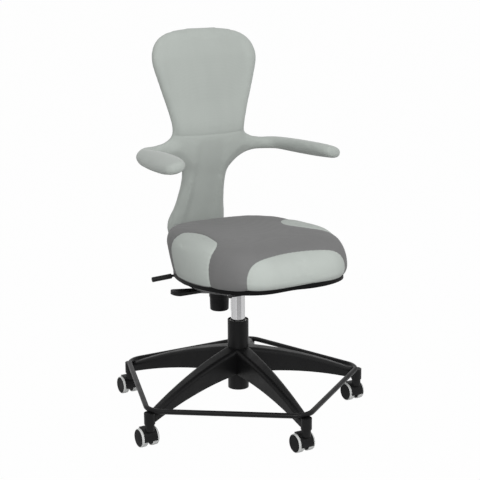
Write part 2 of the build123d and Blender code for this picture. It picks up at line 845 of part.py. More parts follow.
def lever_channel(height, grow):
    """Block over the height lever, rising height above the pan's floor, widened by grow."""
    with BuildPart() as block:
        with BuildSketch(seat_plane(-pan_depth - trim_wall)):
            with Locations((-channel_inner - channel_length / 2 + grow / 2, channel_y)):
                Rectangle(channel_length + grow, channel_width + 2 * grow)
        extrude(amount=height + trim_wall)
    return block.part


with BuildPart() as seat_pan:
    add(seat_dish(0, 0))
    add(seat_dish(trim_wall, trim_wall), mode=Mode.SUBTRACT)
    add(lever_channel(channel_height + trim_wall, trim_wall).intersect(seat_dish(0, 0)))
    add(lever_channel(channel_height, 0), mode=Mode.SUBTRACT)
    for place in bolt_places:
        with BuildSketch(seat_plane(-pan_depth)):
            with Locations(place):
                Circle(2 * bolt_radius)
        extrude(amount=board_bottom + pan_depth - press_gap)
        with BuildSketch(seat_plane(-pan_depth)):
            with Locations(place):
                Circle(bolt_radius + press_gap)
        extrude(amount=pan_depth, mode=Mode.SUBTRACT)
write(seat_pan.part, "seat_pan")

with BuildPart() as seat_board:
    extrude(seat_outline(trim_wall + board_gap, board_bottom), amount=board_thickness)
    for place in bolt_places:
        with BuildSketch(seat_plane(board_bottom)):
            with Locations(place):
                Circle(bolt_radius + press_gap)
        extrude(amount=board_thickness, mode=Mode.SUBTRACT)
write(seat_board.part, "seat_board")

with BuildPart() as seat_cushion:
    extrude(seat_outline(-cushion_bulge, body_gap), amount=2 * pan_depth + trim_height * 3)
    with BuildSketch(Plane.YZ):
        with BuildLine():
            crown = Spline(*cushion_top)
            Line(crown @ 1, (cushion_top[-1][0], seat_height - pan_depth))
            Line((cushion_top[-1][0], seat_height - pan_depth), (cushion_top[0][0], seat_height - pan_depth))
            Line((cushion_top[0][0], seat_height - pan_depth), crown @ 0)
        make_face()
    extrude(amount=2 * seat_half_width, both=True, mode=Mode.INTERSECT)
    top_edges = seat_cushion.faces().sort_by(Axis.Z)[-1].edges()
    fillet(top_edges, cushion_edge_radius)
write(seat_cushion.part, "seat_cushion")

with BuildPart() as seat_bolts:
    for place in bolt_places:
        with BuildSketch(seat_plane(plate_top - plate_thickness - press_gap)):
            with Locations(place):
                Circle(bolt_radius)
        extrude(amount=plate_thickness + pan_depth + 2 * press_gap + board_bottom + board_thickness - 1)
        with BuildSketch(seat_plane(plate_top - plate_thickness - press_gap)):
            with Locations(place):
                RegularPolygon(bolt_head_radius, 6)
        extrude(amount=-bolt_head_height)
write(seat_bolts.part, "seat_bolts")

ear_inner = housing_half_width + body_gap
plate_middle = (plate_front + plate_rear) / 2
bracket_top = seat_height - tilt_root[1] * tilt_sine / tilt_cosine - pan_depth - plate_thickness / 2
ear_top = seat_height - seat_pivot_y * tilt_sine / tilt_cosine - pan_depth - plate_thickness / 2

with BuildPart() as seat_plate:
    with BuildSketch(seat_plane(plate_top)):
        with Locations((0, plate_middle)):
            RectangleRounded(2 * plate_half_width, plate_rear - plate_front, 4 * plate_thickness)
        with Locations(*bolt_places):
            Circle(bolt_radius + press_gap, mode=Mode.SUBTRACT)
    extrude(amount=-plate_thickness)
    for side in (1, -1):
        with BuildSketch(Plane.YZ.offset(side * ear_inner)):
            with Locations((seat_pivot_y, seat_pivot_z)):
                Circle(ear_width / 2)
            with Locations((seat_pivot_y, seat_pivot_z)):
                Rectangle(
                    ear_width,
                    ear_top - seat_pivot_z,
                    align=(Align.CENTER, Align.MIN),
                )
        extrude(amount=side * ear_thickness)
    with BuildSketch(Plane.YZ):
        with Locations((seat_pivot_y, seat_pivot_z)):
            Circle(pivot_pin_radius + shaft_gap)
    extrude(amount=2 * housing_half_width, both=True, mode=Mode.SUBTRACT)
    for end in (1, -1):
        with Locations((tilt_root[0], tilt_root[1] + end * tilt_grip_radius, bracket_top)):
            Box(
                tilt_bracket_width,
                tilt_bracket_thickness,
                bracket_top - tilt_root[2] + tilt_bracket_width / 2,
                align=(Align.CENTER, Align.CENTER, Align.MAX),
            )
    with BuildSketch(Plane.XZ.offset(-tilt_root[1])):
        with Locations((tilt_root[0], tilt_root[2])):
            Circle(tilt_rod_radius / 2 + shaft_gap)
    extrude(amount=3 * tilt_grip_radius, both=True, mode=Mode.SUBTRACT)
write(seat_plate.part, "seat_plate")

with BuildPart() as tilt_lever:
    with BuildLine() as tilt_path:
        FilletPolyline(tilt_root, *tilt_route, radius=tilt_bend_radius)
    with BuildSketch(Plane(origin=tilt_path.line @ 0, z_dir=tilt_path.line % 0)):
        Circle(tilt_rod_radius)
    sweep()
    with BuildSketch(Plane.XZ.offset(-tilt_root[1])):
        with Locations((tilt_root[0], tilt_root[2])):
            Circle(tilt_rod_radius + 1)
    extrude(amount=tilt_grip_radius - tilt_bracket_thickness / 2 - body_gap, both=True)
    with BuildSketch(Plane.XZ.offset(-tilt_root[1])):
        with Locations((tilt_root[0], tilt_root[2])):
            Circle(tilt_rod_radius / 2 + shaft_gap)
    extrude(amount=3 * tilt_grip_radius, both=True, mode=Mode.SUBTRACT)
write(tilt_lever.part, "tilt_lever")

with BuildPart() as tilt_pin:
    with BuildSketch(Plane.XZ.offset(-tilt_root[1])):
        with Locations((tilt_root[0], tilt_root[2])):
            Circle(tilt_rod_radius / 2)
    extrude(amount=tilt_grip_radius + tilt_bracket_thickness, both=True)
write(tilt_pin.part, "tilt_pin")

grip_end = Vector(*tilt_route[-1])
grip_direction = (grip_end - Vector(*tilt_route[-2])).normalized()
grip_start = grip_end - grip_direction * (tilt_grip_length - 4)
with BuildPart() as tilt_grip:
    with BuildSketch(Plane(origin=grip_start, z_dir=grip_direction)):
        Circle(tilt_grip_radius)
    extrude(amount=tilt_grip_length)
    fillet(tilt_grip.edges().filter_by(GeomType.CIRCLE), 1.5)
    with BuildSketch(Plane(origin=grip_start, z_dir=grip_direction)):
        Circle(tilt_rod_radius + press_gap)
    extrude(amount=tilt_grip_length - 4 + press_gap, mode=Mode.SUBTRACT)
write(tilt_grip.part, "tilt_grip")

# ================================================================ back
spine_foot = Vector(0, *spine_plate_route[0])
spine_run = (Vector(0, *spine_plate_route[1]) - spine_foot).normalized()
spine_back = Vector(0, spine_run.Z, -spine_run.Y)
bar_offset = (bar_thickness + spine_plate_thickness) / 2 + press_gap
bar_line_foot = spine_foot + spine_back * bar_offset
bar_corner = bar_line_foot + spine_run * ((back_pivot_z - bar_line_foot.Z) / spine_run.Z)
bar_end = bar_line_foot + spine_run * bar_rise


def swept_bar(points, radius, section, width, depth, grow):
    """Sweep a rectangular or round section along a route with rounded corners."""
    with BuildPart() as bar:
        with BuildLine() as route:
            FilletPolyline(*points, radius=radius)
        start = Plane(origin=route.line @ 0, x_dir=(1, 0, 0), z_dir=route.line % 0)
        with BuildSketch(start if section == "flat" else Plane(origin=route.line @ 0, z_dir=route.line % 0)):
            if section == "flat":
                Rectangle(width + 2 * grow, depth + 2 * grow)
            else:
                Circle(width + grow)
        sweep()
    return bar.part


def bar_shape(grow):
    """The bent bar, each side grown outwards by grow."""
    route = [(0, back_pivot_y, back_pivot_z), tuple(bar_corner), tuple(bar_end)]
    return swept_bar(route, bar_bend_radius, "flat", bar_width, bar_thickness, grow)


def frame_shape(grow):
    """Spine plate with the arm rod through it, each side grown outwards by grow."""
    plate_route = [(0, y, z) for y, z in spine_plate_route]
    plate = swept_bar(plate_route, spine_plate_bend, "flat", spine_plate_width, spine_plate_thickness, grow)
    rod_half = [(x, y, z) for x, y, z in arm_rod_route]
    rod_route = [(-x, y, z) for x, y, z in reversed(rod_half)] + rod_half
    rod = swept_bar(rod_route, arm_rod_bend, "round", arm_rod_radius, 0, grow)
    with BuildPart() as frame:
        add(plate)
        add(rod)
    return frame.part


def bolt_solids(radius, head_radius, head_height, front):
    """The four back bolts along the bar's normal, from the plate's front to behind the bar."""
    with BuildPart() as bolts:
        for side in (-1, 1):
            for end in (0, 1):
                middle = bar_line_foot + spine_run * (18 + end * back_bolt_rise)
                middle = middle + Vector(side * back_bolt_spacing / 2, 0, 0)
                rear = middle + spine_back * (bar_thickness / 2 + press_gap)
                with BuildSketch(Plane(origin=rear, z_dir=spine_back)):
                    Circle(head_radius)
                extrude(amount=head_height)
                with BuildSketch(Plane(origin=rear, z_dir=spine_back)):
                    Circle(radius)
                extrude(amount=-front)
    return bolts.part


bolt_reach = bar_thickness + spine_plate_thickness + 2 * press_gap

with BuildPart() as back_bolts:
    add(bolt_solids(back_bolt_radius, back_bolt_head_radius, back_bolt_head_height, bolt_reach))
write(back_bolts.part, "back_bolts")

with BuildPart() as back_bar:
    add(bar_shape(0))
    with BuildSketch(Plane.YZ):
        with Locations((back_pivot_y, back_pivot_z)):
            Circle(bar_eye_radius)
    extrude(amount=bar_width / 2, both=True)
    with BuildSketch(Plane.YZ):
        with Locations((back_pivot_y, back_pivot_z)):
            Circle(pivot_pin_radius + shaft_gap)
    extrude(amount=bar_width, both=True, mode=Mode.SUBTRACT)
    add(bolt_solids(back_bolt_radius + press_gap, back_bolt_radius, 1, bolt_reach + 1), mode=Mode.SUBTRACT)
write(back_bar.part, "back_bar")

with BuildPart() as back_frame:
    add(frame_shape(0))
    add(bolt_solids(back_bolt_radius + press_gap, back_bolt_radius, 1, bolt_reach + 1), mode=Mode.SUBTRACT)
write(back_frame.part, "back_frame")

with BuildPart() as back_shell:
    for height, half_width, middle, depth in back_stations:
        with BuildSketch(Plane.XY.offset(seat_height + height)):
            with Locations((0, middle)):
                RectangleRounded(2 * half_width, depth, depth * 0.48)
    loft()

with BuildPart() as arm_shell:
    arm_points = [Vector(*point) for point in over_seat(*[station[0] for station in arm_stations])]
    for i, (_, across, depth, roll) in enumerate(arm_stations):
        ahead = arm_points[min(i + 1, len(arm_points) - 1)]
        behind = arm_points[max(i - 1, 0)]
        run = (ahead - behind).normalized()
        outward = Vector(-run.Y, run.X, 0).normalized()
        up = Vector(0, 0, 1)
        sideways = outward * cos(radians(roll)) - up * sin(radians(roll))
        with BuildSketch(Plane(origin=arm_points[i], x_dir=sideways, z_dir=run)):
            Ellipse(across / 2, depth / 2)
    loft()

with BuildPart() as back_cushion:
    add(back_shell.part)
    add(arm_shell.part)
    add(arm_shell.part.mirror(Plane.YZ))
    add(frame_shape(press_gap + 0.1), mode=Mode.SUBTRACT)
    add(bar_shape(press_gap + 0.1), mode=Mode.SUBTRACT)
    add(
        bolt_solids(
            back_bolt_radius + 0.1,
            back_bolt_head_radius + 0.1,
            back_bolt_head_height + 0.1,
            bolt_reach + 0.1,
        ),
        mode=Mode.SUBTRACT,
    )
write(back_cushion.part, "back_cushion")
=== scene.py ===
"""Looks of the drafting chair: its upholstery, base, casters, gas lift and controls.

Every length is in metres unless a name ends in _mm, in the frame of the construction model:
the origin is on the floor under the column, +Z is up and the sitter faces -Y.
"""

import logging
import math
from dataclasses import dataclass
from enum import Enum

import bmesh
import bpy
import numpy as np
from mathutils import Matrix, Vector
from mathutils.kdtree import KDTree

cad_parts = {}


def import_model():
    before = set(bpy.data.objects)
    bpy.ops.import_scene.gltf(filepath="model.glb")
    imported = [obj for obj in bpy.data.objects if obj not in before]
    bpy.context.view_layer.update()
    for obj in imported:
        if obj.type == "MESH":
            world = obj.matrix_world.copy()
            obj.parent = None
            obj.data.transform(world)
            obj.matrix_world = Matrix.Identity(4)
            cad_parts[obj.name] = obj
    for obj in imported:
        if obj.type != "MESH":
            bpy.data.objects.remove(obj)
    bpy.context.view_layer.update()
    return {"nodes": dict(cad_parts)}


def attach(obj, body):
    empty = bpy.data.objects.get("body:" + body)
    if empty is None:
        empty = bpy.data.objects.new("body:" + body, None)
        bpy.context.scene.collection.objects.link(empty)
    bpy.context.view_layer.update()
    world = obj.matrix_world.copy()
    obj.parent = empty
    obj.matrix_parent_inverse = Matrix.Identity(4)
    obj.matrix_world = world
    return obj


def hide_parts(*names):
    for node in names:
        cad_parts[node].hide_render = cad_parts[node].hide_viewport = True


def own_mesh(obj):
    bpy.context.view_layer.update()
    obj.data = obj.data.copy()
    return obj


log = logging.getLogger("chair")
MM = 0.001


# ---------------------------------------------------------------- curves and surfaces
def flow(stations: np.ndarray, count: int, closed: bool = False) -> np.ndarray:
    """Rows along a smooth curve through the stations.

    Between two neighbours each column is a Hermite cubic over the chord length. Its slope at a
    station is the chord from the station before to the station after, over their distance.

    Args:
        stations: One row per station.
        count: How many rows to return.
        closed: Whether the last station leads back to the first.

    Returns:
        An array of count rows.
    """
    knots = np.asarray(stations, float)
    if closed:
        knots = np.vstack([knots[-2:], knots, knots[:3]])
    steps = np.linalg.norm(np.diff(knots, axis=0), axis=1)
    at = np.concatenate([[0.0], np.cumsum(steps)])
    slope = np.gradient(knots, at, axis=0)
    slope[1:-1] = (knots[2:] - knots[:-2]) / (at[2:] - at[:-2])[:, None]
    first, last = (at[2], at[-3]) if closed else (at[0], at[-1])
    where = np.linspace(first, last, count, endpoint=not closed)
    seat = np.clip(np.searchsorted(at, where, side="right") - 1, 0, len(at) - 2)
    span = (at[seat + 1] - at[seat])[:, None]
    s = (where[:, None] - at[seat][:, None]) / span
    return (
        (2 * s**3 - 3 * s**2 + 1) * knots[seat]
        + (s**3 - 2 * s**2 + s) * span * slope[seat]
        + (3 * s**2 - 2 * s**3) * knots[seat + 1]
        + (s**3 - s**2) * span * slope[seat + 1]
    )


def superellipse(count: int, power: np.ndarray) -> tuple[np.ndarray, np.ndarray]:
    """Unit superellipse: x is the signed cosine and y the signed sine, each to the 2/power.

    Args:
        count: Points round the ring.
        power: One exponent per ring; 2 is an ellipse and more is boxier.

    Returns:
        The x and the y of every point, one row per ring.
    """
    turn = np.linspace(0, 2 * math.pi, count, endpoint=False)[None, :]
    bend = 2.0 / np.asarray(power, float).reshape(-1, 1)
    cos, sin = np.cos(turn), np.sin(turn)
    return np.sign(cos) * np.abs(cos) ** bend, np.sign(sin) * np.abs(sin) ** bend


def ring_mesh(name: str, rings: np.ndarray) -> bpy.types.Object:
    """Closed skin over a stack of rings, with a pole at each end.

    Args:
        name: The piece's name.
        rings: Array of rings, points and x, y, z.

    Returns:
        The new object, smooth shaded, with its faces pointing outwards.
    """
    rows, cols, _ = rings.shape
    index = np.arange(rows * cols).reshape(rows, cols)
    right = np.roll(index, -1, axis=1)
    quads = np.stack([index[:-1], right[:-1], right[1:], index[1:]], axis=-1).reshape(-1, 4)
    poles = np.vstack([rings[0].mean(0), rings[-1].mean(0)])
    low, high = rows * cols, rows * cols + 1
    fans = [[low, b, a] for a, b in zip(index[0].tolist(), right[0].tolist())]
    fans += [[high, a, b] for a, b in zip(index[-1].tolist(), right[-1].tolist())]
    mesh = bpy.data.meshes.new(name)
    mesh.from_pydata(np.vstack([rings.reshape(-1, 3), poles]).tolist(), [], quads.tolist() + fans)
    mesh.validate()
    piece = bpy.data.objects.new(name, mesh)
    bpy.context.scene.collection.objects.link(piece)
    face_outwards(piece)
    return piece


def face_outwards(piece: bpy.types.Object) -> None:
    """Turn the faces outwards and shade them smooth."""
    shape = bmesh.new()
    shape.from_mesh(piece.data)
    bmesh.ops.remove_doubles(shape, verts=shape.verts, dist=1e-7)
    bmesh.ops.recalc_face_normals(shape, faces=shape.faces)
    shape.to_mesh(piece.data)
    shape.free()
    piece.data.polygons.foreach_set("use_smooth", np.ones(len(piece.data.polygons), bool))


def points_of(piece: bpy.types.Object) -> np.ndarray:
    """Vertex positions as an array."""
    flat = np.empty(len(piece.data.vertices) * 3, np.float32)
    piece.data.vertices.foreach_get("co", flat)
    return flat.reshape(-1, 3).astype(float)


def set_points(piece: bpy.types.Object, points: np.ndarray) -> None:
    """Put vertex positions back."""
    piece.data.vertices.foreach_set("co", points.astype(np.float32).ravel())
    piece.data.update()


def normals_of(piece: bpy.types.Object) -> np.ndarray:
    """Vertex normals as an array."""
    flat = np.empty(len(piece.data.vertices) * 3, np.float32)
    piece.data.vertex_normals.foreach_get("vector", flat)
    return flat.reshape(-1, 3).astype(float)


def relax(piece: bpy.types.Object, rounds: int, weight: np.ndarray | float = 1.0) -> None:
    """Move each vertex towards the mean of its neighbours, by half the way times its weight."""
    edges = np.empty(len(piece.data.edges) * 2, np.int32)
    piece.data.edges.foreach_get("vertices", edges)
    a, b = edges.reshape(-1, 2).T
    points = points_of(piece)
    degree = np.bincount(np.concatenate([a, b]), minlength=len(points))[:, None]
    pull = 0.5 * (np.asarray(weight, float).reshape(-1, 1) if np.ndim(weight) else weight)
    for _ in range(rounds):
        total = np.zeros_like(points)
        np.add.at(total, a, points[b])
        np.add.at(total, b, points[a])
        points += pull * (total / np.maximum(degree, 1) - points)
    set_points(piece, points)


def apply_modifiers(piece: bpy.types.Object) -> None:
    """Bake every modifier of the piece into its mesh."""
    graph = bpy.context.evaluated_depsgraph_get()
    baked = bpy.data.meshes.new_from_object(piece.evaluated_get(graph))
    old = piece.data
    piece.modifiers.clear()
    piece.data = baked
    bpy.data.meshes.remove(old)
    baked.name = piece.name
    baked.polygons.foreach_set("use_smooth", np.ones(len(baked.polygons), bool))


def join(name: str, pieces: list[bpy.types.Object]) -> bpy.types.Object:
    """One object that holds the meshes of several."""
    corners, faces, shift = [], [], 0
    for piece in pieces:
        corners.append(points_of(piece))
        faces += [[shift + v for v in polygon.vertices] for polygon in piece.data.polygons]
        shift += len(piece.data.vertices)
        bpy.data.objects.remove(piece)
    mesh = bpy.data.meshes.new(name)
    mesh.from_pydata(np.vstack(corners).tolist(), [], faces)
    whole = bpy.data.objects.new(name, mesh)
    bpy.context.scene.collection.objects.link(whole)
    return whole


def spread(grid: np.ndarray, rows: int, cols: int) -> np.ndarray:
    """A grid that is closed round its columns, blended up to more rows and columns.

    Args:
        grid: Rows by columns by values.
        rows: Rows of the result.
        cols: Columns of the result.

    Returns:
        The finer grid, each value the blend of its four neighbours in the coarse one.
    """
    down = np.linspace(0, grid.shape[0] - 1, rows)
    turn = np.arange(cols) * grid.shape[1] / cols
    return sample(grid, np.repeat(down, cols), np.tile(turn, rows)).reshape(rows, cols, -1)


def sample(grid: np.ndarray, rows: np.ndarray, cols: np.ndarray) -> np.ndarray:
    """Values between a grid's points at fractional rows and columns; the columns close round."""
    top = np.clip(np.floor(rows).astype(int), 0, grid.shape[0] - 2)
    left = np.floor(cols).astype(int)
    v, u = (rows - top)[:, None], (cols - left)[:, None]
    left %= grid.shape[1]
    right = (left + 1) % grid.shape[1]
    upper = grid[top, left] * (1 - u) + grid[top, right] * u
    lower = grid[top + 1, left] * (1 - u) + grid[top + 1, right] * u
    return upper * (1 - v) + lower * v


def grid_normals(grid: np.ndarray) -> np.ndarray:
    """Unit normals of a grid that closes round its columns, pointing away from its middle."""
    down = np.gradient(grid, axis=0)
    turn = (np.roll(grid, -1, axis=1) - np.roll(grid, 1, axis=1)) / 2
    normal = np.cross(down, turn)
    normal /= np.maximum(np.linalg.norm(normal, axis=-1, keepdims=True), 1e-12)
    away = np.sum(normal * (grid - grid.mean((0, 1))))
    return normal if away > 0 else -normal


def inside(points: np.ndarray, loop: np.ndarray) -> np.ndarray:
    """Whether flat points lie in a closed loop, by counting the sides that a ray crosses."""
    x, y = points[..., 0], points[..., 1]
    odd = np.zeros(x.shape, bool)
    for (ax, ay), (bx, by) in zip(loop, np.roll(loop, -1, axis=0)):
        if ay != by:
            crosses = ((ay > y) != (by > y)) & (x < (bx - ax) * (y - ay) / (by - ay) + ax)
            odd ^= crosses
    return odd


def seam_distance(
    points: np.ndarray, normals: np.ndarray, line: np.ndarray, within: np.ndarray
) -> tuple[np.ndarray, np.ndarray]:
    """Signed distance from a seam, positive inside it, and the length along it.

    The distance is taken square to the seam at its nearest point, and straight to it past the
    seam's ends. Close by, the side comes from the triple product of the seam's direction, the
    surface's normal and the way to the point.

    Args:
        points: Grid of surface points.
        normals: Their normals.
        line: Points of the seam in order.
        within: Whether each grid point lies inside the seam.

    Returns:
        The distance and the length along the seam, as grids.
    """
    run = np.gradient(line, axis=0)
    run /= np.linalg.norm(run, axis=1, keepdims=True)
    length = np.concatenate([[0], np.cumsum(np.linalg.norm(np.diff(line, axis=0), axis=1))])
    tree = KDTree(len(line))
    for index, point in enumerate(line.tolist()):
        tree.insert(point, index)
    tree.balance()
    flat = points.reshape(-1, 3)
    nearest = np.array([tree.find(point)[1] for point in flat.tolist()])
    away = flat - line[nearest]
    ahead = np.sum(away * run[nearest], axis=1)
    square = np.linalg.norm(away - ahead[:, None] * run[nearest], axis=1)
    gap = np.hypot(square, np.maximum(np.abs(ahead) - 3 * MM, 0))
    triple = np.sum(np.cross(run[nearest], normals.reshape(-1, 3)) * away, axis=1)
    sure = np.where(within.ravel(), 1.0, -1.0)
    middle = (gap > 1 * MM) & (gap < 6 * MM)
    hand = 1.0 if np.sum(np.sign(triple[middle]) * sure[middle]) > 0 else -1.0
    side = np.where(gap < 3 * MM, np.sign(triple) * hand, sure)
    return (gap * side).reshape(points.shape[:2]), (length[nearest] + ahead).reshape(points.shape[:2])


@dataclass(frozen=True)
class Puff:
    """A short cloth simulation that swells a cover like stuffed fabric.

    Attributes:
        pressure: Air pressure inside the cover.
        most: How far a vertex may move.
        frames: Steps of the simulation.
    """

    pressure: float = 4.0
    most: float = 0.006
    frames: int = 20

    def swell(self, piece: bpy.types.Object, held: np.ndarray | None = None) -> None:
        """Swell the piece.

        Args:
            piece: The closed cover.
            held: 1 where the cover is held fast and 0 where it is free.
        """
        rest = points_of(piece)
        cloth = piece.modifiers.new("puff", "CLOTH")
        cloth.settings.use_pressure = True
        cloth.settings.uniform_pressure_force = self.pressure
        cloth.settings.effector_weights.gravity = 0.0
        cloth.settings.quality = 5
        cloth.settings.tension_stiffness = 25
        cloth.settings.compression_stiffness = 25
        cloth.settings.shear_stiffness = 15
        cloth.settings.bending_stiffness = 2
        if held is not None:
            group = piece.vertex_groups.new(name="held")
            for index in np.flatnonzero(held > 0.01).tolist():
                group.add([index], float(held[index]), "REPLACE")
            cloth.settings.vertex_group_mass = "held"
        scene = bpy.context.scene
        cloth.point_cache.frame_end = self.frames
        for frame_number in range(1, self.frames + 1):
            scene.frame_set(frame_number)
        graph = bpy.context.evaluated_depsgraph_get()
        shaped = piece.evaluated_get(graph)
        flat = np.empty(len(rest) * 3, np.float32)
        shaped.data.vertices.foreach_get("co", flat)
        move = flat.reshape(-1, 3).astype(float) - rest
        size = np.linalg.norm(move, axis=1, keepdims=True)
        move *= np.minimum(1.0, self.most / np.maximum(size, 1e-9))
        piece.modifiers.clear()
        piece.vertex_groups.clear()
        scene.frame_set(1)
        set_points(piece, rest + move)


# ---------------------------------------------------------------- finishes
class Board:
    """A material's node tree, with short calls to add nodes and join their sockets."""

    def __init__(self, name: str) -> None:
        """Start an empty tree with an output."""
        self.material = bpy.data.materials.new(name)
        self.material.use_nodes = True
        self.tree = self.material.node_tree
        self.tree.nodes.clear()
        self.output = self.add("ShaderNodeOutputMaterial")

    def add(self, kind: str, **settings: object) -> bpy.types.Node:
        """Add a node of a kind, with its properties or its sockets' values."""
        node = self.tree.nodes.new(kind)
        for key, value in settings.items():
            name = key.replace("_", " ")
            if name in node.inputs:
                node.inputs[name].default_value = value
            else:
                setattr(node, key, value)
        return node

    def link(self, source: bpy.types.NodeSocket, target: bpy.types.NodeSocket) -> None:
        """Join an output socket to an input socket."""
        self.tree.links.new(source, target)

    def mix(self, share: bpy.types.NodeSocket, low: object, high: object) -> bpy.types.NodeSocket:
        """Blend two colours or sockets by a share and return the colour."""
        node = self.add("ShaderNodeMix", data_type="RGBA")
        self.link(share, node.inputs[0])
        for value, socket in ((low, node.inputs[6]), (high, node.inputs[7])):
            if isinstance(value, bpy.types.NodeSocket):
                self.link(value, socket)
            else:
                socket.default_value = (*value, 1.0)
        return node.outputs[2]

    def noise(
        self, scale: float, stretch: tuple[float, float, float] = (1, 1, 1), detail: float = 3
    ) -> bpy.types.NodeSocket:
        """Noise on the object's own coordinates, stretched along its axes."""
        place = self.add("ShaderNodeTexCoord")
        turn = self.add("ShaderNodeMapping")
        turn.inputs["Scale"].default_value = stretch
        grain = self.add("ShaderNodeTexNoise", Scale=scale, Detail=detail, Roughness=0.55)
        self.link(place.outputs["Object"], turn.inputs["Vector"])
        self.link(turn.outputs["Vector"], grain.inputs["Vector"])
        return grain.outputs["Fac"]

    def ramp(
        self, source: bpy.types.NodeSocket, low: float, high: float, to_low: float, to_high: float
    ) -> bpy.types.NodeSocket:
        """Map a number from one range to another, held at the ends."""
        node = self.add("ShaderNodeMapRange")
        for socket, value in zip(node.inputs[1:5], (low, high, to_low, to_high)):
            socket.default_value = value
        self.link(source, node.inputs[0])
        return node.outputs[0]

    def bump(
        self,
        height: bpy.types.NodeSocket,
        depth: float,
        strength: float,
        under: bpy.types.NodeSocket | None = None,
    ) -> bpy.types.NodeSocket:
        """Bump from a height, laid over another bump if one is given."""
        node = self.add("ShaderNodeBump", Strength=strength, Distance=depth)
        self.link(height, node.inputs["Height"])
        if under is not None:
            self.link(under, node.inputs["Normal"])
        return node.outputs["Normal"]


@dataclass(frozen=True)
class Moulded:
    """Moulded or coated hard surface with a fine grain and worn, slightly glossier patches."""

    name: str
    colour: tuple[float, float, float]
    roughness: float = 0.45
    grain: float = 900.0
    grain_depth: float = 0.00005
    patch: float = 0.06
    metallic: float = 0.0
    coat: float = 0.0
    specular: float = 0.5

    def make(self) -> bpy.types.Material:
        """Build the material."""
        board = Board(self.name)
        shader = board.add("ShaderNodeBsdfPrincipled", Metallic=self.metallic)
        shader.inputs["Coat Weight"].default_value = self.coat
        shader.inputs["Coat Roughness"].default_value = 0.2
        shader.inputs["Specular IOR Level"].default_value = self.specular
        cloud = board.noise(26.0)
        shade = board.ramp(cloud, 0.3, 0.7, 0.0, 1.0)
        deep = tuple(c * 0.88 for c in self.colour)
        pale = tuple(min(1.0, c * 1.12 + 0.001) for c in self.colour)
        board.link(board.mix(shade, deep, pale), shader.inputs["Base Color"])
        rough = board.ramp(cloud, 0.3, 0.7, self.roughness + self.patch, self.roughness - self.patch)
        board.link(rough, shader.inputs["Roughness"])
        board.link(board.bump(board.noise(self.grain), self.grain_depth, 0.5), shader.inputs["Normal"])
        board.link(shader.outputs[0], board.output.inputs["Surface"])
        return board.material


@dataclass(frozen=True)
class Polished:
    """Bright plated or turned metal, with faint marks that run round or along the piece."""

    name: str
    colour: tuple[float, float, float]
    roughness: float = 0.12
    marks: tuple[float, float, float] = (1.0, 1.0, 60.0)
    mark_depth: float = 0.00001

    def make(self) -> bpy.types.Material:
        """Build the material."""
        board = Board(self.name)
        shader = board.add("ShaderNodeBsdfPrincipled", Metallic=1.0)
        lines = board.noise(60.0, self.marks, 4)
        deep = tuple(c * 0.93 for c in self.colour)
        board.link(board.mix(lines, deep, self.colour), shader.inputs["Base Color"])
        brushed = board.ramp(lines, 0.2, 0.8, self.roughness * 0.7, self.roughness * 1.4)
        board.link(brushed, shader.inputs["Roughness"])
        board.link(board.bump(lines, self.mark_depth, 0.4), shader.inputs["Normal"])
        board.link(shader.outputs[0], board.output.inputs["Surface"])
        return board.material


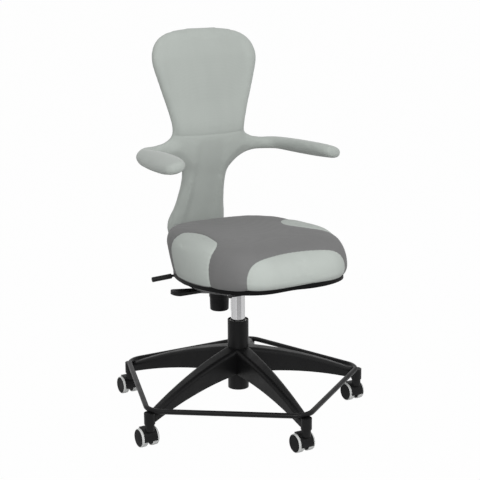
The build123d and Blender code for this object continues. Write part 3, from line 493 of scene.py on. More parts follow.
@dataclass(frozen=True)
class Upholstery:
    """Close woven cover cloth, in one colour or in two that meet at a seam.

    The weave is two sets of fine waves that cross. Where the piece has an attribute named panel,
    the second colour shows where it is above zero; stitches show as a pale dashed line by the seam.
    """

    name: str
    colour: tuple[float, float, float]
    panel: tuple[float, float, float] | None = None
    thread: float = 0.0011
    roughness: float = 0.85
    sheen: float = 0.25
    stitch_inset: float = 4.0 * MM
    stitch_width: float = 0.45 * MM
    stitch_step: float = 4.2 * MM
    stitch_share: float = 0.62
    stitch_strength: float = 0.6
    stitch_lift: float = 1.35

    def stitches(self, board: Board, apart: bpy.types.NodeSocket) -> bpy.types.NodeSocket:
        """1 on the dashes of the top stitching, which run beside the seams on the panel's side.

        Args:
            board: The material's nodes.
            apart: The distance from the seam.

        Returns:
            A socket that is 1 on a stitch and 0 off it.
        """

        def sum_of(operation: str, first: object, second: float) -> bpy.types.NodeSocket:
            """One step of arithmetic with a number."""
            step = board.add("ShaderNodeMath", operation=operation)
            board.link(first, step.inputs[0])
            step.inputs[1].default_value = second
            return step.outputs[0]

        beside = sum_of("ABSOLUTE", sum_of("SUBTRACT", apart, self.stitch_inset), 0.0)
        along = board.add("ShaderNodeAttribute", attribute_name="along")
        beat = sum_of("FRACT", sum_of("DIVIDE", along.outputs["Fac"], self.stitch_step), 0.0)
        line = board.ramp(beside, self.stitch_width * 0.6, self.stitch_width, 1.0, 0.0)
        dash = board.ramp(beat, self.stitch_share - 0.06, self.stitch_share + 0.06, 1.0, 0.0)
        both = board.add("ShaderNodeMath", operation="MULTIPLY")
        board.link(line, both.inputs[0])
        board.link(dash, both.inputs[1])
        return sum_of("MULTIPLY", both.outputs[0], self.stitch_strength)

    def make(self) -> bpy.types.Material:
        """Build the material."""
        board = Board(self.name)
        shader = board.add("ShaderNodeBsdfPrincipled")
        shader.inputs["Sheen Weight"].default_value = self.sheen
        shader.inputs["Sheen Roughness"].default_value = 0.5
        shader.inputs["Specular IOR Level"].default_value = 0.25
        place = board.add("ShaderNodeTexCoord")
        waves = []
        for direction in ("X", "Y", "Z"):
            wave = board.add("ShaderNodeTexWave", wave_type="BANDS", bands_direction=direction)
            wave.inputs["Scale"].default_value = 0.314 / self.thread
            wave.inputs["Distortion"].default_value = 1.2
            wave.inputs["Detail Scale"].default_value = 3.0
            board.link(place.outputs["Object"], wave.inputs["Vector"])
            waves.append(wave.outputs["Fac"])
        first = board.add("ShaderNodeMath", operation="MAXIMUM")
        board.link(waves[0], first.inputs[0])
        board.link(waves[1], first.inputs[1])
        weave = board.add("ShaderNodeMath", operation="MULTIPLY")
        board.link(first.outputs[0], weave.inputs[0])
        board.link(waves[2], weave.inputs[1])
        cloud = board.noise(9.0, (1.0, 1.0, 0.5))
        streak = board.noise(38.0, (1.0, 1.0, 0.07), 2)

        def toned(colour: tuple[float, float, float]) -> bpy.types.NodeSocket:
            """A colour with soft clouds and faint streaks along the cloth."""

            def between(pattern: bpy.types.NodeSocket, low: float, high: float) -> bpy.types.NodeSocket:
                """The colour times low to high, as the pattern goes."""
                dim, lit = (tuple(c * share for c in colour) for share in (low, high))
                return board.mix(board.ramp(pattern, 0.35, 0.65, 0, 1), dim, lit)

            soft = between(cloud, 0.965, 1.035)
            lines = between(streak, 0.975, 1.02)
            both = board.add("ShaderNodeMix", data_type="RGBA")
            both.inputs[0].default_value = 0.4
            board.link(soft, both.inputs[6])
            board.link(lines, both.inputs[7])
            return both.outputs[2]

        cloth = toned(self.colour)
        if self.panel is not None:
            seam = board.add("ShaderNodeAttribute", attribute_name="panel")
            side = board.ramp(seam.outputs["Fac"], -0.0006, 0.0006, 0.0, 1.0)
            cloth = board.mix(side, cloth, toned(self.panel))
            thread = tuple(c * self.stitch_lift for c in self.panel)
            cloth = board.mix(self.stitches(board, seam.outputs["Fac"]), cloth, thread)
        dark = board.ramp(weave.outputs[0], 0.0, 0.5, 0.0, 1.0)
        shaded = board.add("ShaderNodeMix", data_type="RGBA", blend_type="MULTIPLY")
        shaded.inputs[0].default_value = 0.12
        board.link(cloth, shaded.inputs[6])
        board.link(board.mix(dark, (0.55, 0.55, 0.55), (1, 1, 1)), shaded.inputs[7])
        board.link(shaded.outputs[2], shader.inputs["Base Color"])
        worn = board.ramp(cloud, 0.3, 0.7, self.roughness - 0.05, self.roughness + 0.05)
        board.link(worn, shader.inputs["Roughness"])
        broad = board.bump(board.noise(60.0), 0.0008, 0.12)
        board.link(board.bump(weave.outputs[0], 0.00012, 0.35, broad), shader.inputs["Normal"])
        board.link(shader.outputs[0], board.output.inputs["Surface"])
        return board.material


class Finish(Enum):
    """Every finish on the chair."""

    NYLON = Moulded("moulded_nylon", (0.0045, 0.0045, 0.0048), 0.46, 700.0, 0.00008, specular=0.17)
    SATIN = Moulded("satin_plastic", (0.004, 0.004, 0.0043), 0.42, 1200.0, 0.00003, specular=0.17)
    PAN = Moulded("pan_plastic", (0.0036, 0.0036, 0.0038), 0.5, 900.0, 0.00004, specular=0.07)
    COAT = Moulded("powder_coat", (0.0045, 0.0045, 0.0048), 0.40, 1500.0, 0.00004, specular=0.17)
    GRIP = Moulded("soft_grip", (0.007, 0.007, 0.007), 0.6, 800.0, 0.00006, specular=0.25)
    CAP = Moulded("wheel_cap", (0.0038, 0.0038, 0.004), 0.55, 900.0, 0.00003, specular=0.08)
    TREAD = Moulded("pale_tread", (0.62, 0.63, 0.62), 0.6, 600.0, 0.00006)
    BUSH = Moulded("pale_bush", (0.55, 0.55, 0.53), 0.5, 900.0, 0.00003)
    WOOD = Moulded("plywood", (0.42, 0.29, 0.16), 0.6, 500.0, 0.0001)
    CHROME = Polished("plated_tube", (0.72, 0.72, 0.73), 0.16)
    STEEL = Polished("bright_steel", (0.56, 0.56, 0.57), 0.3)
    PALE_CLOTH = Upholstery("pale_cloth", (0.40, 0.43, 0.405))
    TWO_TONE = Upholstery("two_tone_cloth", (0.166, 0.166, 0.1655), (0.445, 0.478, 0.451), sheen=0.1)

    def material(self) -> bpy.types.Material:
        """The finish's material, built the first time it is asked for."""
        return bpy.data.materials.get(self.value.name) or self.value.make()


def dress(piece: bpy.types.Object, finish: Finish) -> None:
    """Give every face of the piece one finish."""
    if not piece.data.materials:
        piece.data.materials.append(None)
    for place in range(len(piece.data.materials)):
        piece.data.materials[place] = finish.material()


# ---------------------------------------------------------------- soft pieces
@dataclass
class SeatCushion:
    """Crowned seat cushion with pale side panels and a pale front panel.

    It is worked out in the seat's own tilted plane, whose height 0 is the top of the trim band.
    A place on the cover is given by its bearing from the crown's middle, 0 straight forward, and
    by its share down the profile, 0 on the crown and 1 at the foot.
    """

    tilt: float = math.radians(4.0)
    height: float = 421 * MM
    outline_mm: tuple[tuple[float, float], ...] = (
        (0, -320), (97, -317), (157, -277), (190, -198), (201, -100),
        (182, 20), (136, 112), (80, 160), (0, 174),
    )
    centre_mm: float = -75.0
    crown_mm: tuple[tuple[float, float], ...] = (
        (-330, 78), (-260, 97), (-160, 105), (20, 111), (120, 116), (180, 114),
    )
    coarse: tuple[int, int] = (84, 240)
    fine: tuple[int, int] = (150, 480)
    widest: float = 1.045
    foot: float = 0.993
    foot_drop: float = 0.03
    side_shoulder: float = 0.18
    front_shoulder: float = 0.36
    side_low: float = 0.42
    front_low: float = 0.19
    rear_swell: float = 0.02
    rear_low: float = 0.66
    sharpness: float = 3.0
    power: float = 2.2
    flat: float = 0.36
    arc: float = 0.86
    innermost: float = 0.012
    dish_mm: float = 4.5
    side_seam: tuple[tuple[float, float], ...] = (
        (58, 97), (58, 80), (57, 68), (55.5, 54), (56, 42), (61, 31), (77, 24.5), (97, 23.5),
        (111, 27.5), (115.5, 36), (112.5, 49), (112.5, 62), (113, 75), (113.5, 86), (114, 97),
    )
    front_seam: tuple[tuple[float, float], ...] = (
        (33, 97), (33, 83), (31.5, 72), (29, 64.5), (25.5, 59), (20, 54.5), (12, 52),
        (0, 51.6), (-12, 52), (-20, 54.5), (-25.5, 59), (-29, 64.5), (-31.5, 72), (-33, 83), (-33, 97),
    )
    soften_share: float = 0.9
    soften_reach: float = 0.13
    soften_rounds: int = 160
    right_drop: float = 4.5
    right_fade: float = 14.0
    seam_points: int = 420
    seam_width: float = 3.2 * MM
    seam_depth: float = 1.7 * MM
    pinch_width: float = 17 * MM
    pinch_depth: float = 1.6 * MM
    pucker_step: float = 13 * MM
    pucker_depth: float = 0.35 * MM
    pucker_fade: float = 9 * MM
    swell: Puff = Puff(4.0, 1.8 * MM, 16)

    def place(self, local: np.ndarray) -> np.ndarray:
        """Turn points of the seat's plane into the chair's frame."""
        c, s = math.cos(self.tilt), math.sin(self.tilt)
        x, y, z = local[..., 0], local[..., 1], local[..., 2]
        return np.stack([x, y * c + z * s, self.height - y * s + z * c], axis=-1)

    def profile(
        self, down: np.ndarray, shoulder: np.ndarray, low: np.ndarray, widest: np.ndarray, tuck: np.ndarray
    ) -> tuple[np.ndarray, np.ndarray]:
        """Reach and height along a line from the crown's middle, over the shoulder, to the foot.

        The reach runs straight to where the shoulder starts, then follows a quarter of a
        superellipse down to the widest line, then tucks in along a quarter ellipse or, by the
        tuck's share, along a straight line.

        Args:
            down: Shares down the profile, one per ring, as a column.
            shoulder: Share of the radius that the shoulder takes, one per direction.
            low: Share of the crown's height where the cover is widest, one per direction.
            widest: Reach there, one per direction.
            tuck: How straight the cover runs in below it, 0 to 1, one per direction.

        Returns:
            Reach and height, each rings by directions, as shares of the radius and the crown.
        """
        start = widest - shoulder
        over = np.clip((down - self.flat) / (self.arc - self.flat), 0, 1) * math.pi / 2
        under = np.clip((down - self.arc) / (1 - self.arc), 0, 1) * math.pi / 2
        bend = 2 / self.power
        inner, outer = start * (down / self.flat) ** 0.9, start + shoulder * np.sin(over) ** bend
        reach = np.where(down < self.flat, inner, outer)
        rise = np.where(down < self.flat, 1.0, low + (1 - low) * np.cos(over) ** bend)
        bow = (1 - tuck) * np.cos(under) + tuck * (1 - np.sin(under))
        reach = np.where(down > self.arc, self.foot + (widest - self.foot) * bow, reach)
        sunk = low * (1 - np.sin(under)) - self.foot_drop * np.sin(under) ** 8
        rise = np.where(down > self.arc, sunk, rise)
        return reach, rise

    def surface(self, rings: int, around: int) -> tuple[np.ndarray, np.ndarray]:
        """Grid of the cover: reach times the outline, rise times the crown, which lifts to the sides.

        Args:
            rings: Rows from the crown's middle to the foot.
            around: Points in a row.

        Returns:
            The points in the seat's plane, and each column's bearing in degrees, rising.
        """
        half = np.array(self.outline_mm, float)
        mirror = half[-2:0:-1] * (-1, 1)
        edge = flow(np.vstack([half, mirror]), around, closed=True)
        middle = np.array([0.0, self.centre_mm])
        arm = edge - middle
        turn = np.unwrap(np.arctan2(arm[:, 0], -arm[:, 1]))
        front = np.clip(np.cos(turn), 0, 1) ** self.sharpness
        shoulder = self.side_shoulder + (self.front_shoulder - self.side_shoulder) * front
        rear = np.clip(-1.6 * np.cos(turn), 0, 1)
        ahead = np.clip(np.cos(turn), 0, 1) ** 1.3
        low = self.side_low + (self.front_low - self.side_low) * ahead
        low = low + (self.rear_low - self.side_low) * rear
        down = np.linspace(self.innermost, 1, rings)[:, None]
        reach, rise = self.profile(down, shoulder, low, self.widest + self.rear_swell * rear, 0.75 * rear)
        plan = middle + reach[..., None] * arm[None]
        crown = np.array(self.crown_mm, float)
        top = np.interp(plan[..., 1], crown[:, 0], crown[:, 1])
        lift = self.dish_mm * (np.clip(np.abs(plan[..., 0]) / 150, 0, 1) ** 2 - 0.15)
        z = rise * (top + lift) + 0.4
        return np.stack([plan[..., 0], plan[..., 1], z], axis=-1) * MM, np.degrees(turn)

    def puffed(self) -> np.ndarray:
        """The fine grid in the chair's frame, moved as the cloth of the coarse grid moves.

        The move at a fine point is the blend of its four coarse neighbours.
        """
        local, _ = self.surface(*self.fine)
        shape = self.place(local)
        rough, _ = self.surface(*self.coarse)
        start = self.place(rough)
        piece = ring_mesh("seat_cover_rough", start[::-1])
        down = np.repeat(np.linspace(1, self.innermost, self.coarse[0]), self.coarse[1])
        held = np.concatenate([np.clip((down - 0.93) / 0.03, 0, 1), [1.0, 0.0]])
        self.swell.swell(piece, held)
        after = points_of(piece)[: start[..., 0].size].reshape(start.shape)[::-1]
        bpy.data.objects.remove(piece)
        return self.soften(shape + spread(after - start, *self.fine))

    def soften(self, shape: np.ndarray) -> np.ndarray:
        """Even out the line where the crown's flat meets its shoulder.

        Each point goes, round after round, towards the mean of the points before and after it on
        the way out from the middle, by a share that fades away from that line.
        """
        down = np.linspace(self.innermost, 1, self.fine[0])
        share = self.soften_share * np.exp(-(((down - self.flat) / self.soften_reach) ** 2))[1:-1, None, None]
        for _ in range(self.soften_rounds):
            shape = shape.copy()
            shape[1:-1] += share * ((shape[:-2] + shape[2:]) / 2 - shape[1:-1])
        return shape

    def seams(self) -> list[np.ndarray]:
        """Bearing and share down of the two side seams and the front seam, as smooth curves.

        The right one mirrors the left, but its top run lies lower by the drop, which fades away
        down the side. With no drop the two panels are alike.
        """
        left = flow(np.array(self.side_seam), self.seam_points)
        right = left * (-1, 1)
        from_top = (right[:, 1] - left[:, 1].min()) / self.right_fade
        right[:, 1] += self.right_drop * np.exp(-(from_top**2))
        return [left, right, flow(np.array(self.front_seam), self.seam_points)]

    def build(self) -> None:
        """Make the cushion, swell it, sew its panels and dress it."""
        shape = self.puffed()
        _, turn = self.surface(*self.fine)
        columns = (np.mod(turn + 180, 360) - 180)[None, :]
        down = 100 * np.linspace(self.innermost, 1, self.fine[0])[:, None]
        chart = np.stack(np.broadcast_arrays(columns, down), -1)
        normal = grid_normals(shape)
        order = np.argsort(columns[0])
        apart, along = np.full(shape.shape[:2], -1.0), np.zeros(shape.shape[:2])
        for curve in self.seams():
            rows = (curve[:, 1] / 100 - self.innermost) / (1 - self.innermost) * (self.fine[0] - 1)
            column = np.where(order > self.fine[1] / 2, order - self.fine[1], order)
            place = np.interp(curve[:, 0], columns[0][order], column)
            line = sample(shape, rows, place)
            near, run = seam_distance(shape, normal, line, inside(chart, curve))
            closer = np.abs(near) < np.abs(apart)
            apart, along = np.where(closer, near, apart), np.where(closer, run, along)
        seam = np.exp(-((apart / self.seam_width) ** 2)) * self.seam_depth
        pinch = np.exp(-((apart / self.pinch_width) ** 2)) * self.pinch_depth
        ripple = np.sin(2 * math.pi * along / self.pucker_step)
        pucker = self.pucker_depth * ripple * np.exp(-np.abs(apart) / self.pucker_fade)
        shape = shape - normal * (seam + pinch + pucker)[..., None]
        piece = ring_mesh("seat_cover", shape[::-1])
        for name, value in (("panel", apart), ("along", along)):
            layer = piece.data.attributes.new(name, "FLOAT", "POINT")
            values = np.concatenate([value[::-1].ravel(), [-1.0, -1.0]])
            layer.data.foreach_set("value", values.astype(np.float32))
        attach(piece, "seat")
        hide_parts("seat_cushion")
        dress(piece, Finish.TWO_TONE)
        log.info("seat cover: %d faces", len(piece.data.polygons))


@dataclass
class BackRest:
    """Upholstered back whose arms grow out of its waist, all one cover.

    The back is a stack of level superellipses. Each arm is a run of superellipses square to its
    path; its first ones are tall, which makes the wide fillets above and below its root.
    """

    stations_mm: tuple[tuple[float, ...], ...] = (
        (447, 50, 246, 20, 2.4),
        (452, 66, 246, 34, 2.6),
        (466, 84, 245, 52, 2.9),
        (505, 91, 236, 60, 3.2),
        (560, 78, 215, 60, 3.3),
        (625, 71, 192, 57, 3.3),
        (690, 80, 169, 50, 3.2),
        (745, 104, 157, 46, 3.0),
        (775, 119, 153, 45, 3.0),
        (800, 120, 153, 45, 3.0),
        (850, 131, 158, 47, 3.0),
        (910, 148, 165, 50, 3.0),
        (975, 163, 173, 50, 2.9),
        (1010, 155, 181, 47, 2.7),
        (1032, 137, 188, 42, 2.5),
        (1045, 111, 193, 34, 2.4),
        (1052, 83, 195, 26, 2.2),
        (1056, 46, 196, 15, 2.0),
        (1057, 8, 196, 3, 2.0),
    )
    arm_mm: tuple[tuple[float, ...], ...] = (
        (44, 162, 706, 38, 154, 0, 2.4),
        (62, 162, 716, 38, 140, 0, 2.4),
        (80, 162, 724, 38, 120, 0, 2.4),
        (96, 162, 729, 38, 94, 0, 2.4),
        (112, 162, 730, 38, 73, 0, 2.4),
        (130, 162, 730, 37, 56, 0, 2.3),
        (150, 160, 728, 36, 45, 0, 2.2),
        (174, 155, 727, 36, 38, 2, 2.2),
        (198, 143, 727, 42, 36, 7, 2.2),
        (216, 115, 727, 54, 34, 13, 2.3),
        (223, 78, 727, 66, 34, 19, 2.4),
        (226, 34, 728, 72, 34, 22, 2.5),
        (231, -26, 729, 73, 34, 22, 2.6),
        (235, -72, 730, 69, 34, 20, 2.6),
        (237, -98, 730, 61, 33, 17, 2.6),
        (238, -111, 730, 52, 31, 15, 2.5),
        (239, -117, 730, 38, 24, 14, 2.2),
        (239, -120, 730, 12, 8, 14, 2.0),
    )
    root_reach_mm: tuple[float, float] = (70, 140)
    taper: tuple[tuple[float, ...], ...] = ((446, 505, 640, 715, 790), (0.16, 0.24, 0.26, 0.10, 0.0))
    dish: tuple[tuple[float, ...], ...] = (
        (446, 480, 560, 650, 710, 760, 800, 860, 960, 1015, 1045),
        (0, 6, 13, 13, 8, 3, 4, 9, 10, 7, 0),
    )
    rim: float = 0.95
    rim_width: float = 0.26
    waist_seam: float = 766 * MM
    voxel: float = 5.5 * MM
    swell: Puff = Puff(3.0, 3 * MM, 12)

    def shell(self) -> bpy.types.Object:
        """The back's stack: half width and half depth times a superellipse.

        The front narrows by the taper, and its middle sinks by the dish inside a raised rim, over
        which the depth falls off as a smooth step.
        """
        rows = flow(np.array(self.stations_mm, float), 150)
        z, wide, middle, deep, power = rows.T
        x, y = superellipse(128, power)
        fore = np.clip(-y, 0, 1)
        narrow = np.interp(z, *self.taper)[:, None]
        across = wide[:, None] * x * (1 - narrow * fore**1.3)
        share = np.abs(across) / (wide[:, None] * (1 - narrow))
        step = np.clip((self.rim - share) / self.rim_width, 0, 1)
        hollow = np.interp(z, *self.dish)[:, None] * step**2 * (3 - 2 * step) * np.clip(fore * 1.6, 0, 1)
        depth = middle[:, None] + deep[:, None] / 2 * y + hollow
        rings = np.stack([across, depth, np.broadcast_to(z[:, None], x.shape)], -1)
        return ring_mesh("back_shell", rings * MM)

    def arm(self, side: int) -> bpy.types.Object:
        """One arm: rings square to the path, turned about it by the roll.

        By the root each ring leans as the back's own middle line does, so it stays within the back.
        """
        rows = flow(np.array(self.arm_mm, float), 96)
        path, wide, tall = rows[:, :3], rows[:, 3], rows[:, 4]
        roll, power = np.radians(rows[:, 5]), rows[:, 6]
        run = np.gradient(path, axis=0)
        run[:, 2] = 0
        run /= np.linalg.norm(run, axis=1, keepdims=True)
        out = np.stack([-run[:, 1], run[:, 0], np.zeros(len(run))], -1)
        up = np.array([0.0, 0.0, 1.0])
        across = out * np.cos(roll)[:, None] - up * np.sin(roll)[:, None]
        rise = out * np.sin(roll)[:, None] + up * np.cos(roll)[:, None]
        x, y = superellipse(56, power)
        rings = (
            path[:, None, :]
            + (wide[:, None] / 2 * x)[..., None] * across[:, None, :]
            + (tall[:, None] / 2 * y)[..., None] * rise[:, None, :]
        )
        spine = np.array(self.stations_mm, float)
        inner, outer = self.root_reach_mm
        root = np.clip((outer - path[:, 0]) / (outer - inner), 0, 1)[:, None]
        lean = np.interp(rings[..., 2], spine[:, 0], spine[:, 2])
        lean = lean - np.interp(path[:, 2], spine[:, 0], spine[:, 2])[:, None]
        rings[..., 1] += root * lean
        rings[..., 0] *= side
        return ring_mesh(f"arm_{side}", rings * MM)

    def stitch(self, piece: bpy.types.Object) -> None:
        """Sink the one seam of the back, across the waist's front, which dips to the middle.

        The groove is a narrow bell of the distance from the seam, in a wide one where the cloth
        pinches in beside it. Both fade out towards the sides.
        """
        points, normals = points_of(piece), normals_of(piece)
        facing = np.clip(-normals[:, 1] * 2 - 0.4, 0, 1)
        sag = 0.004 * (points[:, 0] / 0.11) ** 2
        waist = points[:, 2] - self.waist_seam - sag
        side = np.clip((0.128 - np.abs(points[:, 0])) / 0.02, 0, 1)
        groove = 1.3 * MM * np.exp(-((waist / (2.6 * MM)) ** 2))
        hollow = 1.2 * MM * np.exp(-((waist / (13 * MM)) ** 2))
        depth = facing * side * (groove + hollow)
        set_points(piece, points - normals * depth[:, None])

    def build(self) -> None:
        """Join back and arms under one cover, smooth the roots, swell it and dress it."""
        piece = join("back_cover", [self.shell(), self.arm(1), self.arm(-1)])
        remesh = piece.modifiers.new("skin", "REMESH")
        remesh.mode = "VOXEL"
        remesh.voxel_size = self.voxel
        apply_modifiers(piece)
        face_outwards(piece)
        points = points_of(piece)
        root = np.exp(-(((np.abs(points[:, 0]) - 0.115) / 0.05) ** 2) - ((points[:, 2] - 0.725) / 0.08) ** 2)
        relax(piece, 3)
        relax(piece, 34, np.clip(root * 1.5, 0, 1))
        self.swell.swell(piece)
        relax(piece, 3)
        fine = piece.modifiers.new("fine", "SUBSURF")
        fine.levels = fine.render_levels = 1
        apply_modifiers(piece)
        self.stitch(piece)
        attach(piece, "back")
        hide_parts("back_cushion")
        dress(piece, Finish.PALE_CLOTH)
        log.info("back cover: %d faces", len(piece.data.polygons))


# ---------------------------------------------------------------- hard pieces
@dataclass
class HardParts:
    """Finishes of the construction nodes that keep their own shape."""

    nodes: dict[str, bpy.types.Object]

    def finish_of(self, node: str) -> Finish:
        """Finish of a node, by its name."""
        exact = {
            "base_casting": Finish.NYLON,
            "foot_ring": Finish.COAT,
            "stand_tube": Finish.COAT,
            "guide_bush": Finish.BUSH,
            "pressure_tube": Finish.CHROME,
            "lift_collar": Finish.NYLON,
            "mechanism_housing": Finish.COAT,
            "height_lever": Finish.SATIN,
            "tension_knob": Finish.SATIN,
            "seat_plate": Finish.COAT,
            "seat_pan": Finish.PAN,
            "seat_board": Finish.WOOD,
            "seat_cushion": Finish.TWO_TONE,
            "back_cushion": Finish.PALE_CLOTH,
            "back_bar": Finish.COAT,
            "back_frame": Finish.COAT,
            "tilt_lever": Finish.COAT,
            "tilt_grip": Finish.GRIP,
        }
        if node in exact:
            return exact[node]
        if "tread" in node:
            return Finish.TREAD
        if "wheel" in node:
            return Finish.CAP
        if "hood" in node:
            return Finish.NYLON
        return Finish.STEEL

    def build(self) -> None:
        """Dress every node."""
        for name, node in self.nodes.items():
            dress(node, self.finish_of(name))
        log.info("dressed %d construction nodes", len(self.nodes))


def piece_from(node: bpy.types.Object, name: str, body: str) -> bpy.types.Object:
    """A node's mesh as a new piece, with its loose triangles merged, riding on a body."""
    piece = bpy.data.objects.new(name, node.data.copy())
    bpy.context.scene.collection.objects.link(piece)
    shape = bmesh.new()
    shape.from_mesh(piece.data)
    bmesh.ops.remove_doubles(shape, verts=shape.verts, dist=2e-6)
    shape.to_mesh(piece.data)
    shape.free()
    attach(piece, body)
    return piece


@dataclass
class Mechanism:
    """Housing under the seat with a floor that rises to the front, its collar and its spring.

    All three start as merged copies of the construction nodes. The housing's floor is lifted in
    proportion to the way forward of the knee, and the collar is drawn up into it. The share of
    the spring's height to keep at full recline was found by trial, so that it clears the back's
    bar; the spring is not pressed down here and keeps its built height.
    """

    nodes: dict[str, bpy.types.Object]
    knee: float = 30 * MM
    front: float = -78 * MM
    rise: float = 18 * MM
    floor: float = 342 * MM
    band: float = 15 * MM
    collar_from: float = 352 * MM
    collar_squash: float = 0.25
    spring_kept: float = 0.5

    def spring(self) -> None:
        """Spring over the knob's screw, which the back's bar presses down as the back reclines; here it is a
        copy of its node at its built height.
        """
        coil = piece_from(self.nodes["tension_spring"], "tension_coil", "lift")
        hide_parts("tension_spring")
        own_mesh(coil)
        dress(coil, Finish.STEEL)

    def build(self) -> None:
        """Lift the housing's floor, draw up the collar, add the spring and dress all three."""
        housing = piece_from(self.nodes["mechanism_housing"], "mechanism_shell", "lift")
        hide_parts("mechanism_housing")
        points = points_of(housing)
        ahead = np.clip((self.knee - points[:, 1]) / (self.knee - self.front), 0, 1)
        low = np.clip((self.floor + self.band - points[:, 2]) / self.band, 0, 1)
        points[:, 2] += self.rise * ahead * low
        set_points(housing, points)
        dress(housing, Finish.COAT)
        collar = piece_from(self.nodes["lift_collar"], "column_collar", "lift")
        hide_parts("lift_collar")
        points = points_of(collar)
        bottom = points[:, 2].min()
        points[:, 2] = self.collar_from + (points[:, 2] - bottom) * self.collar_squash
        set_points(collar, points)
        dress(collar, Finish.NYLON)
        self.spring()


@dataclass
class LeverPaddle:
    """Height lever with a fuller paddle.

    Past the start, points move away from the lever's own line, up to the growth's share more.
    """

    node: bpy.types.Object
    start: float = -125 * MM
    length: float = 40 * MM
    growth: float = 0.5

    def build(self) -> None:
        """Make the lever and dress it."""
        piece = piece_from(self.node, "lever_paddle", "lever")
        points = points_of(piece)
        share = 1 + self.growth * np.clip((self.start - points[:, 0]) / self.length, 0, 1)
        outer = points[:, 0] < self.start + self.length
        for axis in (1, 2):
            slope, level = np.polyfit(points[outer, 0], points[outer, axis], 1)
            line = slope * points[:, 0] + level
            points[:, axis] = line + (points[:, axis] - line) * share
        set_points(piece, points)
        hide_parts("height_lever")
        dress(piece, Finish.SATIN)


@dataclass
class Pan:
    """Moulded pan under the seat, whose dish is fuller than the construction's.

    In the seat's own plane, a point behind the middle and under the trim band moves out, and down
    near the floor's edge, in proportion to its depth.
    """

    node: bpy.types.Object
    seat: SeatCushion
    band: float = 13 * MM
    depth: float = 37 * MM
    middle: float = -25 * MM
    wider: float = 0.09
    longer: float = 0.07
    lower: float = 3 * MM
    from_y: float = 12 * MM
    to_y: float = 75 * MM
    flat: float = 90 * MM

    def build(self) -> None:
        """Make the pan and dress it."""
        piece = piece_from(self.node, "pan_shell", "seat")
        points = points_of(piece)
        c, s = math.cos(self.seat.tilt), math.sin(self.seat.tilt)
        up = points[:, 2] - self.seat.height
        local = np.stack([points[:, 0], points[:, 1] * c - up * s, points[:, 1] * s + up * c], -1)
        share = np.clip((-self.band - local[:, 2]) / (self.depth - self.band), 0, 1)
        edge = np.maximum(np.abs(local[:, 0]), np.abs(local[:, 1] - self.middle)) > self.flat
        share *= edge * np.clip((local[:, 1] - self.from_y) / (self.to_y - self.from_y), 0, 1)
        local[:, 0] *= 1 + self.wider * share
        local[:, 1] += (local[:, 1] - self.middle) * self.longer * share
        local[:, 2] -= self.lower * share
        set_points(piece, self.seat.place(local))
        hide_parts("seat_pan")
        dress(piece, Finish.PAN)
        log.info("pan: %d faces", len(piece.data.polygons))


@dataclass
class Casters:
    """Short front guards over the twin wheels, and fuller pale treads.

    Each caster's axle, middle and stem are read from its construction nodes.
    """

    nodes: dict[str, bpy.types.Object]
    count: int = 5
    guard_end: float = math.radians(9)
    built_end: float = math.radians(34)
    outer: float = 25.0 * MM
    inner: float = 21.5 * MM
    half_width: float = 8.5 * MM
    power: float = 3.4
    around: int = 72
    profile: int = 28

    def guard(self, number: int) -> None:
        """Hood whose front guard ends higher.

        A point in front of the axle and under it keeps its reach from the axle, and its angle
        under the level is taken down in proportion.
        """
        name = f"caster_{number}_hood"
        hood = piece_from(self.nodes[name], f"caster_{number}_cover", f"caster_{number}")
        wheels = [points_of(self.nodes[f"caster_{number}_tread_{side}"]) for side in ("left", "right")]
        axle = (wheels[0].mean(0) + wheels[1].mean(0)) / 2
        pins = points_of(self.nodes[f"caster_{number}_pins"])
        ahead = pins[pins[:, 2] > 60 * MM].mean(0) - axle
        ahead[2] = 0
        ahead /= np.linalg.norm(ahead)
        points = points_of(hood)
        out, up = (points - axle) @ ahead, points[:, 2] - axle[2]
        reach, angle = np.hypot(out, up), np.arctan2(up, out)
        moved = np.where((angle < 0) & (out > 0), angle * self.guard_end / self.built_end, angle)
        points += ((reach * np.cos(moved)) - out)[:, None] * ahead
        points[:, 2] = axle[2] + reach * np.sin(moved)
        set_points(hood, points)
        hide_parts(name)
        dress(hood, Finish.NYLON)

    def tread(self, name: str, body: str) -> None:
        """Rounded profile turned about the wheel's axle, the way in which its points spread least."""
        points = points_of(self.nodes[name])
        middle = (points.min(0) + points.max(0)) / 2
        axle = np.linalg.eigh(np.cov((points - points.mean(0)).T))[1][:, 0]
        first = np.cross(axle, (0, 0, 1))
        first /= np.linalg.norm(first)
        x, y = superellipse(self.profile, np.array([self.power]))
        reach = (self.outer + self.inner) / 2 + (self.outer - self.inner) / 2 * x[0]
        side = self.half_width * y[0]
        turn = np.linspace(0, 2 * math.pi, self.around, endpoint=False)[:, None, None]
        wheel = np.cos(turn) * first + np.sin(turn) * np.cross(axle, first)
        rings = middle + reach[None, :, None] * wheel + side[None, :, None] * axle
        index = np.arange(self.around * self.profile).reshape(self.around, self.profile)
        ahead = np.roll(index, -1, axis=0)
        quads = np.stack([index, np.roll(index, -1, axis=1), np.roll(ahead, -1, axis=1), ahead], -1)
        mesh = bpy.data.meshes.new(name.replace("tread", "ring"))
        mesh.from_pydata(rings.reshape(-1, 3).tolist(), [], quads.reshape(-1, 4).tolist())
        ring = bpy.data.objects.new(mesh.name, mesh)
        bpy.context.scene.collection.objects.link(ring)
        face_outwards(ring)
        for face in mesh.polygons:
            face.use_smooth = True
        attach(ring, body)
        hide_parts(name)
        dress(ring, Finish.TREAD)

    def build(self) -> None:
        """Make the hoods and treads of every caster."""
        for number in range(1, self.count + 1):
            self.guard(number)
            for side in ("left", "right"):
                self.tread(f"caster_{number}_tread_{side}", f"caster_{number}_{side}")
        log.info("casters: %d", self.count)


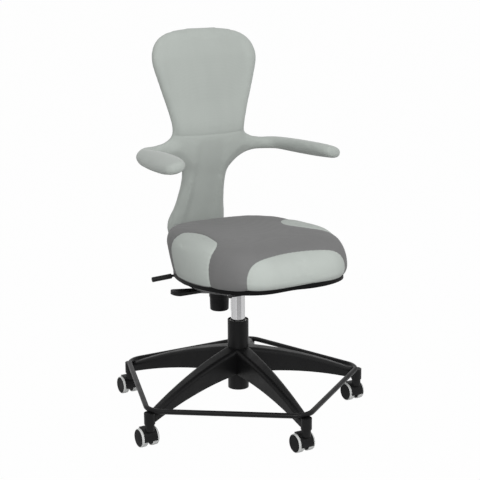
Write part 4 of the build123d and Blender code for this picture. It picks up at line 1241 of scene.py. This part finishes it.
# ---------------------------------------------------------------- studio
def shown_rays(tree: bpy.types.NodeTree) -> bpy.types.NodeSocket:
    """1 for the rays that show the background: those from the camera, mirrored or let through."""
    path = tree.nodes.new("ShaderNodeLightPath")
    total = path.outputs["Is Camera Ray"]
    for kind in ("Is Glossy Ray", "Is Transmission Ray"):
        larger = tree.nodes.new("ShaderNodeMath")
        larger.operation = "MAXIMUM"
        tree.links.new(total, larger.inputs[0])
        tree.links.new(path.outputs[kind], larger.inputs[1])
        total = larger.outputs[0]
    return total


@dataclass
class Studio:
    """Camera, soft lamps, pale floor and white surroundings."""

    eye: tuple[float, float, float] = (-1.5534, -2.686, 1.2272)
    aim: tuple[float, float, float] = (0.0058, -0.0035, 0.4939)
    field: float = math.radians(23.1535)
    roll: float = math.radians(-0.35)
    lit: tuple[float, float, float] = (0, 0, 0.55)
    floor_reach: float = 90.0
    screen_distance: float = 0.8
    screen_height: float = 0.42
    screen_steps: int = 24

    def camera(self) -> None:
        """Place the camera and make it the scene's."""
        lens = bpy.data.cameras.new("camera")
        lens.sensor_fit = "AUTO"
        lens.angle = self.field
        lens.clip_start, lens.clip_end = 0.05, 200.0
        eye, aim = Vector(self.eye), Vector(self.aim)
        turn = (aim - eye).to_track_quat("-Z", "Y").to_matrix().to_4x4()
        camera = bpy.data.objects.new("camera", lens)
        camera.matrix_world = Matrix.Translation(eye) @ turn @ Matrix.Rotation(self.roll, 4, "Z")
        bpy.context.scene.collection.objects.link(camera)
        bpy.context.scene.camera = camera

    def lamp(self, name: str, at: tuple[float, float, float], size: float, power: float) -> None:
        """Add a square area lamp that points at the chair's middle."""
        light = bpy.data.lights.new(name, "AREA")
        light.size = size
        light.energy = power
        lamp = bpy.data.objects.new(name, light)
        place = Vector(at)
        turn = (Vector(self.lit) - place).to_track_quat("-Z", "Y").to_matrix().to_4x4()
        lamp.matrix_world = Matrix.Translation(place) @ turn
        bpy.context.scene.collection.objects.link(lamp)

    def world(self, strength: float) -> None:
        """White surroundings: full white to the camera and in reflections, softer as light."""
        world = bpy.data.worlds.new("surroundings")
        world.use_nodes = True
        tree = world.node_tree
        tree.nodes.clear()
        seen = shown_rays(tree)
        soft = tree.nodes.new("ShaderNodeBackground")
        soft.inputs["Color"].default_value = (1, 1, 1, 1)
        soft.inputs["Strength"].default_value = strength
        white = tree.nodes.new("ShaderNodeBackground")
        white.inputs["Color"].default_value = (1, 1, 1, 1)
        white.inputs["Strength"].default_value = 1.0
        blend = tree.nodes.new("ShaderNodeMixShader")
        out = tree.nodes.new("ShaderNodeOutputWorld")
        tree.links.new(seen, blend.inputs[0])
        tree.links.new(soft.outputs[0], blend.inputs[1])
        tree.links.new(white.outputs[0], blend.inputs[2])
        tree.links.new(blend.outputs[0], out.inputs["Surface"])
        bpy.context.scene.world = world

    def screen(self, name: str, start: float, stop: float, shade: float) -> None:
        """Curved grey screen round the chair that only glossy rays meet, for bands on the metal.

        It stands still, so the bands lie differently on the metal from each side.

        Args:
            name: The screen's name.
            start: Bearing of one edge in degrees from straight in front, towards the sitter's left.
            stop: Bearing of the other edge.
            shade: Its grey.
        """
        turn = np.radians(np.linspace(start, stop, self.screen_steps + 1))
        foot = self.screen_distance * np.stack([np.sin(turn), -np.cos(turn), 0 * turn], -1)
        rise = np.array([0.0, 0.0, self.screen_height])
        low = np.arange(self.screen_steps)
        count = self.screen_steps + 1
        faces = np.stack([low, low + 1, low + 1 + count, low + count], -1)
        mesh = bpy.data.meshes.new(name)
        mesh.from_pydata(np.concatenate([foot, foot + rise]).tolist(), [], faces.tolist())
        screen = bpy.data.objects.new(name, mesh)
        bpy.context.scene.collection.objects.link(screen)
        board = Board(name)
        glow = board.add("ShaderNodeEmission", Color=(shade, shade, shade, 1), Strength=1.0)
        board.link(glow.outputs[0], board.output.inputs["Surface"])
        mesh.materials.append(board.material)
        screen.visible_camera = screen.visible_diffuse = False
        screen.visible_shadow = screen.visible_transmission = False

    def floor(self) -> None:
        """Wide pale floor that shows white to the camera and keeps a faint shadow."""
        mesh = bpy.data.meshes.new("floor")
        signs = ((-1, -1), (1, -1), (1, 1), (-1, 1))
        corners = [(x * self.floor_reach, y * self.floor_reach, 0) for x, y in signs]
        mesh.from_pydata(corners, [], [(0, 1, 2, 3)])
        floor = bpy.data.objects.new("floor", mesh)
        bpy.context.scene.collection.objects.link(floor)
        board = Board("pale_floor")
        matt = board.add("ShaderNodeBsdfDiffuse", Color=(0.45, 0.45, 0.45, 1))
        glow = board.add("ShaderNodeEmission", Color=(1, 1, 1, 1), Strength=1.0)
        share = board.add("ShaderNodeMath", operation="MULTIPLY")
        share.inputs[1].default_value = 0.985
        blend = board.add("ShaderNodeMixShader")
        board.link(shown_rays(board.tree), share.inputs[0])
        board.link(share.outputs[0], blend.inputs[0])
        board.link(matt.outputs[0], blend.inputs[1])
        board.link(glow.outputs[0], blend.inputs[2])
        board.link(blend.outputs[0], board.output.inputs["Surface"])
        mesh.materials.append(board.material)

    def build(self) -> None:
        """Set up the whole studio."""
        self.camera()
        self.world(0.53)
        self.lamp("key", (-1.3, -3.4, 2.1), 1.8, 86.0)
        self.lamp("fill", (2.4, -2.4, 1.5), 2.2, 14.0)
        self.lamp("side", (-3.2, -1.1, 1.7), 1.6, 9.0)
        self.lamp("top", (0.2, -0.3, 3.4), 2.2, 8.0)
        self.screen("screen_left", -150, -128, 0.52)
        self.screen("screen_rear", -124, -60, 0.70)
        self.screen("screen_middle", -52, 26, 0.46)
        self.screen("screen_front", 30, 76, 0.78)
        self.screen("screen_right", 80, 110, 0.62)
        self.floor()
        bpy.context.scene.view_settings.view_transform = "Standard"


def main() -> None:
    """Build the chair's looks in order."""
    logging.basicConfig(level=logging.INFO, format="%(name)s: %(message)s")
    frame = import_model()
    Studio().build()
    HardParts(frame["nodes"]).build()
    Mechanism(frame["nodes"]).build()
    LeverPaddle(frame["nodes"]["height_lever"]).build()
    Pan(frame["nodes"]["seat_pan"], SeatCushion()).build()
    Casters(frame["nodes"]).build()
    SeatCushion().build()
    BackRest().build()


if __name__ == "__main__":
    main()
